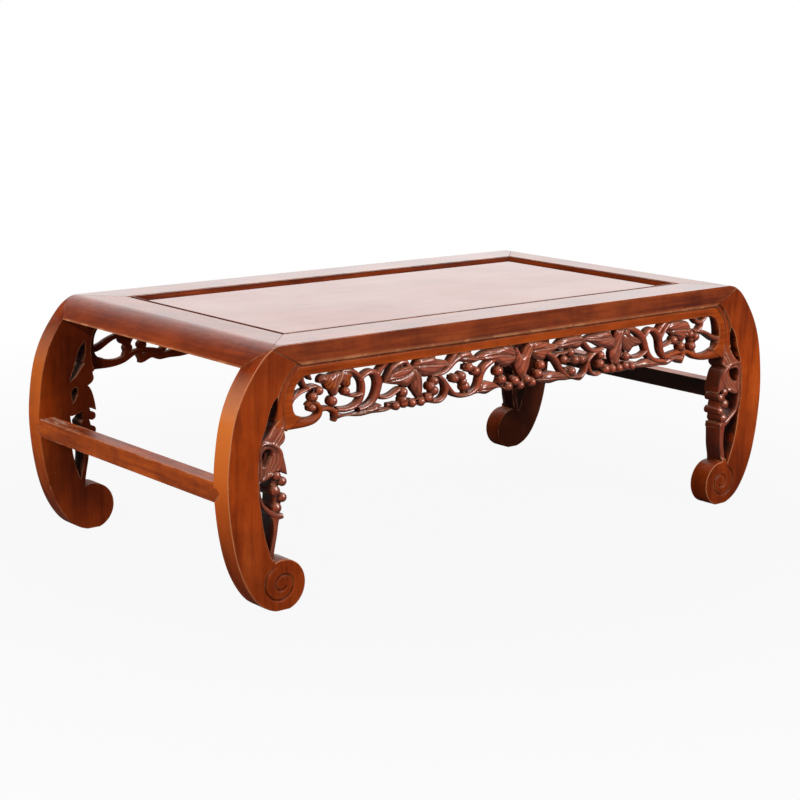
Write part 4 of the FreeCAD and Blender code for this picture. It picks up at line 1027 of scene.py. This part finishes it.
# Figure, dark lines, pores and stains
def bareWood(tree, grain, streaks, pores, look):
    figure = grainNoise(tree, grain, look["figureAlong"], look["figureAcross"], 3.0, 0.5)
    tone = addMath(tree, "ADD", addProduct(tree, figure, 0.55), addProduct(tree, streaks, 0.45))
    spread = look["toneSpread"]
    colour = addRamp(tree, tone, [(0.5 - spread, look["dark"]), (0.5, look["mid"]),
                                  (0.5 + spread, look["light"])])
    darkLines = addRamp(tree, grainNoise(tree, grain, 3.0, 260.0, 6.0, 0.8),
                        [(0.34, (0.25, 0.18, 0.16)), (0.44, white)])
    colour = addMix(tree, look["lines"], colour, darkLines, "MULTIPLY")
    poreShade = addRamp(tree, pores, [(0.35, (0.55, 0.5, 0.48)), (0.5, white)])
    colour = addMix(tree, look["pores"], colour, poreShade, "MULTIPLY")
    if look["stain"]:
        blotches = addNoise(tree, grain, 15.0, 5.0, Roughness=0.65)
        stained = addRamp(tree, blotches, [(0.38, (0.42, 0.34, 0.32)), (0.6, white)])
        colour = addMix(tree, look["stain"], colour, stained, "MULTIPLY")
    return colour


stripLook = {"facing": (0.55, 0.75), "out": (0.412, 0.42), "rise": (0.05, 0.17), "end": (0.235, 0.285)}


# The leg's outer strip, paler towards its shoulder: partly rubbed wear, partly a painted highlight of the
# light from the side
def rubbedAndLitStrip(tree, place, normal, colour, look):
    level = addAxis(tree, place, "Z")
    outward = addFade(tree, addMath(tree, "ABSOLUTE", addAxis(tree, normal, "X")), stripLook["facing"])
    outside = addFade(tree, addMath(tree, "ABSOLUTE", addAxis(tree, place, "X")), stripLook["out"])
    rising = addFade(tree, level, stripLook["rise"], (0.0, look["rubbedAndLitStrip"]))
    ending = addFade(tree, level, stripLook["end"], (1.0, 0.0))
    strip = addProduct(tree, outward, outside, rising, ending)
    rubbedAndLitColour = addRamp(tree, addProduct(tree, level, metresToRamp), look["stripWearAndHighlightColours"])
    return addMix(tree, strip, colour, rubbedAndLitColour)


scrapeLook = {"facing": (0.4, 0.8), "end": (0.09, 0.16), "noise": (30.0, 170.0, 3.0, 1.5),
              "marks": (0.5, 0.56)}


# The hewn end of the stretcher's top
def scrapedEnd(tree, place, normal, grain, colour, look):
    onTop = addFade(tree, addAxis(tree, normal, "Z"), scrapeLook["facing"])
    atEnd = addFade(tree, addAxis(tree, place, "Y"), scrapeLook["end"], (0.0, look["scrapes"]))
    marks = addPatches(tree, grainNoise(tree, grain, *scrapeLook["noise"]), scrapeLook["marks"])
    return addMix(tree, addProduct(tree, onTop, atEnd, marks), colour, look["scrapeColour"])


# How much of the carving is paler: its crests, rubbed and with a painted highlight, and the rim of the
# sawn face, rubbed
def rubbedAndLitCarving(tree, place, patchy, look):
    crests = addMath(tree, "MULTIPLY", addMark(tree, "wearAndHighlight"), look["crestRubAndHighlight"], True)
    nearFace = addFade(tree, addMath(tree, "ABSOLUTE", addAxis(tree, place, "Y")),
                       (look["rimFrom"], look["rimFrom"] + 0.5 * mm), (0.0, look["rimWear"]))
    rim = addProduct(tree, addMark(tree, "rim"), nearFace,
                     addMath(tree, "MAXIMUM", patchy, look["rimEven"]))
    return addMath(tree, "MAXIMUM", crests, rim)


paintedLightLook = {"up": (0.1, 0.8), "down": (-0.05, -0.8), "downMost": 0.85, "away": (0.75, 0.15),
             "awayMost": 0.8}


# Painted light on the carving: what faces up is paler, partly dust and partly a painted sheen of the
# light from above;
# the undersides and the turned-away sides get painted shade
def dustSheenAndShade(tree, normal, carvedPart, colour, look):
    facing = addNode(tree, "ShaderNodeSeparateXYZ", {"Vector": normal})
    up = addFade(tree, (facing, "Z"), paintedLightLook["up"])
    down = addFade(tree, (facing, "Z"), paintedLightLook["down"], (0.0, paintedLightLook["downMost"]))
    away = addFade(tree, addMath(tree, "ABSOLUTE", (facing, "Y")), paintedLightLook["away"],
                   (0.0, paintedLightLook["awayMost"]))
    paintedShade = addMath(tree, "MAXIMUM", down, addProduct(tree, away, addMath(tree, "SUBTRACT", 1.0, up)))
    paintedShade = addProduct(tree, paintedShade, look["paintedShade"], carvedPart)
    colour = addMix(tree, paintedShade, colour, look["dustAndShadeColour"])
    dustAndPaintedLight = addProduct(tree, up, look["upwardDustAndSheen"], carvedPart)
    return addMix(tree, dustAndPaintedLight, colour, look["upwardDustAndSheenColour"])


arrisWear = {"patchScale": 45.0, "patches": (0.42, 0.62), "chipScale": 130.0, "chips": (0.7, 0.74),
             "chipGain": 8.0, "rough": 0.15}
smearLook = {"scale": 9.0, "span": (0.3, 0.7)}
bumpLook = {"streaks": 0.4, "pores": 0.3, "height": 0.3 * mm}


# Polished hardwood, its grain along one axis of the piece
def hardwood(name, look):
    material = bpy.data.materials.new(name)
    tree = emptyTree(material)
    place = addNode(tree, "ShaderNodeTexCoord"), "Object"
    normal = addNode(tree, "ShaderNodeNewGeometry"), "Normal"
    grain = grainPlace(tree, place, look)
    streaks = grainNoise(tree, grain, look["streakAlong"], look["streakAcross"], 5.0, 0.3)
    pores = grainNoise(tree, grain, 40.0, 1500.0, 3.0)
    colour = bareWood(tree, grain, streaks, pores, look)
    # arrises rubbed pale, with a chip here and there
    soft = addNode(tree, "ShaderNodeBevel", {"Radius": look["wearReach"]}, samples=4)
    agree = addVector(tree, "DOT_PRODUCT", normal, (soft, 0), "Value")
    bend = addMath(tree, "SUBTRACT", 1.0, agree)
    patchy = addPatches(tree, addNoise(tree, place, arrisWear["patchScale"], 4.0), arrisWear["patches"])
    edge = addMath(tree, "MULTIPLY", bend, look["wearGain"], True)
    wearAndCrestHighlight = addMath(tree, "MULTIPLY", edge, patchy, True)
    if look["rubLines"]:
        rubLine = addProduct(tree, seamShade(tree, place, look["rubLines"]),
                             addMath(tree, "MAXIMUM", patchy, look["rubEven"]))
        wearAndCrestHighlight = addMath(tree, "MAXIMUM", wearAndCrestHighlight, rubLine)
    chips = addPatches(tree, addNoise(tree, place, arrisWear["chipScale"], 1.0), arrisWear["chips"])
    sharpest = addMath(tree, "MULTIPLY", bend, arrisWear["chipGain"], True)
    chip = addMath(tree, "MULTIPLY", sharpest, chips, True)
    coat = look["coat"]
    if look["seams"]:
        seam = seamShade(tree, place, look["seams"])
        clear = addMath(tree, "SUBTRACT", 1.0, seam)
        colour = addMix(tree, seam, colour, look["seamColour"])
        wearAndCrestHighlight, chip = addProduct(tree, wearAndCrestHighlight, clear), addProduct(tree, chip, clear)
        if coat:
            coat = addMath(tree, "SUBTRACT", coat, seam, True)
    if look["knots"]:
        colour = addMix(tree, knotShade(tree, place, look["knots"]), colour, look["knotColour"])
    # a leg darker towards its foot and its top: partly dirt, partly painted shade where less light
    # reaches
    if look["endDirtAndShade"]:
        level = addProduct(tree, addAxis(tree, place, "Z"), metresToRamp)
        ends = addRamp(tree, level, look["endDirtAndShadeColours"])
        colour = addMix(tree, look["endDirtAndShade"], colour, ends, "MULTIPLY")
    # the outer strip's rubbed wear and painted highlight
    if look["rubbedAndLitStrip"]:
        colour = rubbedAndLitStrip(tree, place, normal, colour, look)
    if look["scrapes"]:
        colour = scrapedEnd(tree, place, normal, grain, colour, look)
    if look["innerPaintedShade"]:
        # painted shade on the side turned to the middle of the table, which the light hardly reaches
        facingIn = addVector(tree, "DOT_PRODUCT", normal, look["innerWay"], "Value")
        turnedIn = addFade(tree, facingIn, (0.3, 0.7), (0.0, look["innerPaintedShade"]))
        colour = addMix(tree, turnedIn, colour, look["innerShade"], "MULTIPLY")
    if look["carved"]:
        carvedPart = addMark(tree, "carved")
        deepened = addMix(tree, 1.0, colour, look["carvedTint"], "MULTIPLY")
        colour = addMix(tree, carvedPart, colour, deepened)
        # the hollows darkened: partly dust and wax, partly painted shade
        dustAndPaintedLight = addMath(tree, "MULTIPLY", addMark(tree, "hollow"), look["dustAndPaintedLight"], True)
        colour = addMix(tree, dustAndPaintedLight, colour, look["dustAndShadeColour"])
        wearAndCrestHighlight = addMath(tree, "MAXIMUM", wearAndCrestHighlight, rubbedAndLitCarving(tree, place, patchy, look))
    colour = addMix(tree, wearAndCrestHighlight, colour, look["wearAndHighlightColour"])
    colour = addMix(tree, chip, colour, look["chipColour"])
    # painted shade and painted sheen by the way the carving faces, with dust on what faces up
    if look["carved"]:
        colour = dustSheenAndShade(tree, normal, carvedPart, colour, look)
    smear = addNoise(tree, place, smearLook["scale"], 5.0)
    smeared = addFade(tree, smear, smearLook["span"], look["gloss"])
    rough = addMath(tree, "ADD", addProduct(tree, wearAndCrestHighlight, arrisWear["rough"]), smeared)
    if look["seams"]:
        rough = addMath(tree, "MAXIMUM", rough, seam)
    height = addMath(tree, "ADD", addProduct(tree, streaks, bumpLook["streaks"]),
                     addProduct(tree, pores, bumpLook["pores"]))
    bump = addNode(tree, "ShaderNodeBump", {"Height": height, "Strength": look["bump"],
                                            "Distance": bumpLook["height"]})
    shader = addNode(tree, "ShaderNodeBsdfPrincipled", {
        "Base Color": colour, "Roughness": rough, "Normal": (bump, 0),
        "Specular IOR Level": look["sheen"], "Coat Weight": coat,
        "Coat Roughness": look["coatRough"], "Coat IOR": look["coatIor"]})
    addNode(tree, "ShaderNodeOutputMaterial", {"Surface": (shader, 0)})
    return material


# A line along the frame: out from the middle along one axis, at one height
def lineAlong(axis, out, height, width, shade):
    through = (out, 0.0, height) if axis == "x" else (0.0, out, height)
    across = (1, 0, 0) if axis == "x" else (0, 1, 0)
    return {"through": through, "normals": [across, (0, 0, 1)], "width": width, "shade": shade}


panelTop = 305 * mm
knotDark = 0.8
mitreSeam = {"through": (opening["x"], opening["y"], 0.3), "normals": [(0.7071, -0.7071, 0)],
             "width": 0.8 * mm, "shade": 0.8}
legSeam = {"through": (0.354, 0.2305, 0.2855), "normals": [(0.3283, 0.7382, -0.5893)],
           "width": 0.9 * mm, "shade": 0.9}
# the frame's inner arris, the channel's near wall and the foot of the frame on the panel: dark wax, and
# painted shade in the channel and at the foot
railSeams = [mitreSeam, legSeam, lineAlong("y", opening["y"], frameTop - 0.4 * mm, 1.6 * mm, 1.4),
             lineAlong("y", opening["y"] + 2.4 * mm, frameTop - mm, 1.6 * mm, 1.1),
             lineAlong("y", opening["y"], panelTop, 4.0 * mm, 0.5)]
endSeams = [mitreSeam, legSeam, lineAlong("x", opening["x"], frameTop - 0.4 * mm, 1.6 * mm, 1.4),
            lineAlong("x", opening["x"] + 2.4 * mm, frameTop - mm, 2.2 * mm, 1.6),
            lineAlong("x", opening["x"], panelTop, 4.0 * mm, 0.5)]
railRub = lineAlong("y", 230.5 * mm, 286.8 * mm, 4.0 * mm, 0.9)
endRub = lineAlong("x", 419.2 * mm, 286.3 * mm, 3.0 * mm, 1.0)
panelKnots = [(-0.17, 0.02, 0.006), (-0.24, -0.1, 0.004), (0.2, 0.06, 0.007)]

woodLook = {
    "grain": "X", "shift": (0.0, 0.0, 0.0), "wander": 0.02, "toneSpread": 0.15,
    "dark": (0.13, 0.017, 0.0035), "mid": (0.29, 0.045, 0.0075), "light": (0.4, 0.078, 0.013),
    "figureAlong": 4.0, "figureAcross": 34.0, "streakAlong": 8.0, "streakAcross": 220.0,
    "lines": 0.3, "pores": 0.4, "stain": 0.5,
    "wearReach": 2.5 * mm, "wearGain": 4.0, "wearAndHighlightColour": (0.62, 0.25, 0.11),
    "rubLines": [], "rubEven": 0.45, "chipColour": (0.6, 0.34, 0.18),
    "gloss": (0.3, 0.42), "bump": 0.25, "sheen": 0.2,
    "coat": 0.0, "coatRough": 0.16, "coatIor": 1.42,
    "seams": [], "seamColour": (0.09, 0.02, 0.009), "knots": [], "knotColour": (0.1, 0.02, 0.006),
    "endDirtAndShade": 0.0, "endDirtAndShadeColours": [(0.1, (0.64, 0.62, 0.8)), (0.3, (0.74, 0.74, 1)), (0.46, white),
                                    (0.65, white), (0.92, (0.62, 0.6, 0.9))],
    "rubbedAndLitStrip": 0.0, "stripWearAndHighlightColours": [(0.4, (0.66, 0.125, 0.014)), (0.72, (0.76, 0.2, 0.036)),
                                       (0.9, (0.66, 0.34, 0.2))],
    "scrapes": 0.0, "scrapeColour": (0.6, 0.4, 0.3),
    "innerPaintedShade": 0.0, "innerWay": (0, -1, 0), "innerShade": (0.3, 0.45, 1.0),
    "carved": False, "carvedTint": (0.6, 0.42, 0.6), "crestRubAndHighlight": 0.8, "dustAndPaintedLight": 0.95,
    "rimFrom": 229.3 * mm, "rimWear": 1.0, "rimEven": 0.8, "dustAndShadeColour": (0.012, 0.004, 0.002),
    "paintedShade": 0.9, "upwardDustAndSheen": 0.4, "upwardDustAndSheenColour": (0.5, 0.26, 0.165)}
railLook = dict(woodLook, coat=1.0, sheen=0.05, bump=0.08, stain=0.7, rubLines=[railRub],
                seams=railSeams)
endLook = dict(woodLook, grain="Y", coat=1.0, sheen=0.05, bump=0.08, coatRough=0.22, lines=0.15,
               toneSpread=0.22, dark=(0.14, 0.018, 0.0025), mid=(0.27, 0.038, 0.004),
               light=(0.38, 0.062, 0.008), rubLines=[endRub], seams=endSeams)
legWood = dict(woodLook, grain="Z", carved=True, seams=[legSeam], figureAcross=14.0,
               streakAcross=90.0, dark=(0.265, 0.034, 0.004), mid=(0.45, 0.063, 0.006),
               light=(0.58, 0.098, 0.011), carvedTint=(0.72, 0.6, 1.0), sheen=0.1, endDirtAndShade=1.0,
               rubbedAndLitStrip=0.85)
apronWood = dict(woodLook, carved=True, carvedTint=(0.95, 0.68, 1.0), sheen=0.1,
                 dark=(0.26, 0.038, 0.004), mid=(0.42, 0.066, 0.008), light=(0.54, 0.095, 0.013),
                 rimFrom=227.3 * mm, rimWear=0.3)
stretcherLook = dict(woodLook, grain="Y", wearReach=4 * mm, wearGain=6.0, stain=0.7, bump=0.6,
                     streakAcross=140.0, dark=(0.28, 0.038, 0.003), mid=(0.56, 0.095, 0.007),
                     light=(0.7, 0.135, 0.011), sheen=0.35)
panelLook = dict(woodLook, coat=1.0, sheen=0.1, toneSpread=0.45, stain=0.0, lines=0.15, bump=0.08,
                 figureAcross=26.0, knots=panelKnots, coatRough=0.2)
battenLook = dict(woodLook, grain="Y", gloss=(0.6, 0.75), dark=(0.05, 0.014, 0.006),
                  mid=(0.12, 0.035, 0.013), light=(0.19, 0.06, 0.022))
# the carving's crests paler and warmer: wear, and a painted highlight
carvingLook = {"sheen": 1.0, "gloss": (0.22, 0.32), "crestRubAndHighlight": 0.75, "upwardDustAndSheen": 0.3,
               "wearAndHighlightColour": (0.78, 0.34, 0.19)}
# The walls of the front legs take more sheen, less painted shade and less pale on their upper sides than
# those of the back legs and the aprons
dullWall = {"sheen": 0.1, "gloss": (0.5, 0.6)}
lightlyShadedWall = {"sheen": 0.5, "gloss": (0.26, 0.38), "paintedShade": 0.45, "upwardDustAndSheen": 0.1}
finishes = {
    "top_rail_front": dict(railLook, shift=(0.3, 0.1, 0.2)),
    "top_rail_back": dict(railLook, shift=(1.3, 0.4, 0.1)),
    "top_end_left": dict(endLook, shift=(0.7, 0.2, 0.9)),
    "top_end_right": dict(endLook, shift=(2.7, 1.2, 0.3)),
    "top_panel": dict(panelLook, shift=(0.0, 2.0, 0.0)),
    "stretcher_left": dict(stretcherLook, shift=(0.2, 0.8, 0.0), scrapes=0.8),
    # painted shade on the right stretcher's inner side
    "stretcher_right": dict(stretcherLook, shift=(0.9, 1.8, 0.6), innerPaintedShade=1.0,
                            innerWay=(-1, 0, 0), innerShade=(0.13, 0.17, 0.6)),
    "leg_front_left": dict(legWood, shift=(0.1, 0.0, 0.3)),
    "leg_front_right": dict(legWood, shift=(0.4, 0.9, 0.0)),
    "leg_back_left": dict(legWood, shift=(0.8, 0.2, 0.5), rubbedAndLitStrip=0.5),
    # painted shade on the back right leg's inner side
    "leg_back_right": dict(legWood, shift=(1.1, 0.3, 0.7), innerPaintedShade=0.9),
    "apron_front": dict(apronWood, shift=(0.6, 0.3, 0.4)),
    "apron_back": dict(apronWood, shift=(1.6, 0.5, 0.8)),
    "panel_batten_left": dict(battenLook, shift=(0.5, 0.0, 0.1)),
    "panel_batten_right": dict(battenLook, shift=(0.9, 0.0, 0.6))}

for node, look in finishes.items():
    material = hardwood(node + "_wood", look)
    piece = carved.get(node) or planed.get(node)
    if piece is None:
        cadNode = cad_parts[node]
        for i in range(max(1, len(cadNode.data.materials))):
            if len(cadNode.material_slots) <= i:
                cadNode.data.materials.append(material)
            cadNode.material_slots[i].material = material
        continue
    piece.data.materials.append(material)
    if look["carved"]:
        wallLook = lightlyShadedWall if node.startswith("leg_front") else dullWall
        piece.data.materials.append(hardwood(node + "_carving", dict(look, **carvingLook)))
        piece.data.materials.append(hardwood(node + "_walls", dict(look, **wallLook)))
print("finishes made")


floorLook = {"size": 400, "below": 0.2 * mm, "colour": (0.13, 0.13, 0.13, 1),
             "shadowed": (0.5, 1.6), "glow": (0.93, 1.0)}
skyLook = {"towards": (0.64, 0.77, 0.0), "span": (0.45, 0.88), "glow": (0.04, 1.0), "ambient": 0.2}

bpy.ops.object.select_all(action="DESELECT")
bpy.ops.mesh.primitive_plane_add(size=floorLook["size"], location=(0, 0, -floorLook["below"]))
floor = bpy.context.object
floor.name = "studio_floor"
bpy.ops.object.transform_apply(location=True, rotation=True, scale=True)
floorPaint = bpy.data.materials.new("studio_floor_paint")
tree = emptyTree(floorPaint)
matt = addNode(tree, "ShaderNodeBsdfDiffuse", {"Color": floorLook["colour"]})
glow = addNode(tree, "ShaderNodeEmission", {"Color": (1, 1, 1, 1), "Strength": 1.0})
ray = addNode(tree, "ShaderNodeLightPath")
place = addNode(tree, "ShaderNodeTexCoord")
fromTable = addVector(tree, "LENGTH", (place, "Object"), output="Value")
whitened = addFade(tree, fromTable, floorLook["shadowed"], floorLook["glow"])
part = addProduct(tree, (ray, "Is Camera Ray"), whitened)
mixed = addNode(tree, "ShaderNodeMixShader", {0: part, 1: (matt, 0), 2: (glow, 0)})
addNode(tree, "ShaderNodeOutputMaterial", {"Surface": (mixed, 0)})
floor.data.materials.append(floorPaint)

# white to the camera, dim to the wood, and bright behind the table where the top mirrors it
world = bpy.data.worlds.new("studio")
bpy.context.scene.world = world
tree = emptyTree(world)
ray = addNode(tree, "ShaderNodeLightPath")
place = addNode(tree, "ShaderNodeTexCoord")
towards = addVector(tree, "DOT_PRODUCT", (place, "Generated"), skyLook["towards"], "Value")
behind = addFade(tree, towards, skyLook["span"], skyLook["glow"], interpolation_type="SMOOTHSTEP")
seenDirect = addMath(tree, "MAXIMUM", (ray, "Is Camera Ray"), (ray, "Is Glossy Ray"))
shone = addProduct(tree, (ray, "Is Glossy Ray"), behind)
strength = addMath(tree, "MAXIMUM", (ray, "Is Camera Ray"), shone)
ambient = addProduct(tree, addMath(tree, "SUBTRACT", 1.0, seenDirect), skyLook["ambient"])
strength = addMath(tree, "ADD", strength, ambient)
sky = addNode(tree, "ShaderNodeBackground", {"Color": (1, 1, 1, 1), "Strength": strength})
addNode(tree, "ShaderNodeOutputWorld", {"Surface": (sky, 0)})

tableMiddle = Vector((0, 0, 0.15))
lamps = {
    "key_left": {"place": (-3.1, -0.9, 1.5), "size": (1.8, 1.2), "power": 72, "shines": False},
    "fill_front": {"place": (1.2, -2.8, 1.6), "size": (1.2, 1.2), "power": 72, "shines": True},
    "overhead": {"place": (0.0, 0.4, 2.6), "size": (2.0, 2.0), "power": 36, "shines": True},
    "sky_behind": {"place": (2.6, 3.2, 1.1), "size": (5.0, 2.0), "power": 10, "shines": True}}
for name, look in lamps.items():
    lamp = bpy.data.lights.new(name, "AREA")
    lamp.shape = "RECTANGLE"
    lamp.size, lamp.size_y = look["size"]
    lamp.energy = look["power"]
    holder = bpy.data.objects.new(name, lamp)
    holder.location = look["place"]
    toTable = tableMiddle - holder.location
    holder.rotation_euler = toTable.to_track_quat("-Z", "Y").to_euler()
    holder.visible_camera = False
    holder.visible_glossy = look["shines"]
    bpy.context.collection.objects.link(holder)

view = {"place": (-1.56431, -1.86925, 0.68598), "turn": -39.580, "rise": 12.182, "roll": 0.5935,
        "lens": 82.175, "sensor": 36.0}
turn, rise, roll = (math.radians(view[key]) for key in ("turn", "rise", "roll"))
back = Vector((math.sin(turn) * math.cos(rise), -math.cos(turn) * math.cos(rise), math.sin(rise)))
right = (-back).cross(Vector((0, 0, 1))).normalized()
up = right.cross(-back)
rolledRight = math.cos(roll) * right + math.sin(roll) * up
rolledUp = -math.sin(roll) * right + math.cos(roll) * up
cameraData = bpy.data.cameras.new("photo_view")
cameraData.lens = view["lens"]
cameraData.sensor_width = view["sensor"]
camera = bpy.data.objects.new("photo_view", cameraData)
facing = Matrix((rolledRight, rolledUp, back)).transposed().to_4x4()
camera.matrix_world = Matrix.Translation(view["place"]) @ facing
bpy.context.collection.objects.link(camera)
bpy.context.scene.camera = camera
bpy.context.scene.view_settings.view_transform = "Standard"
print("studio set")
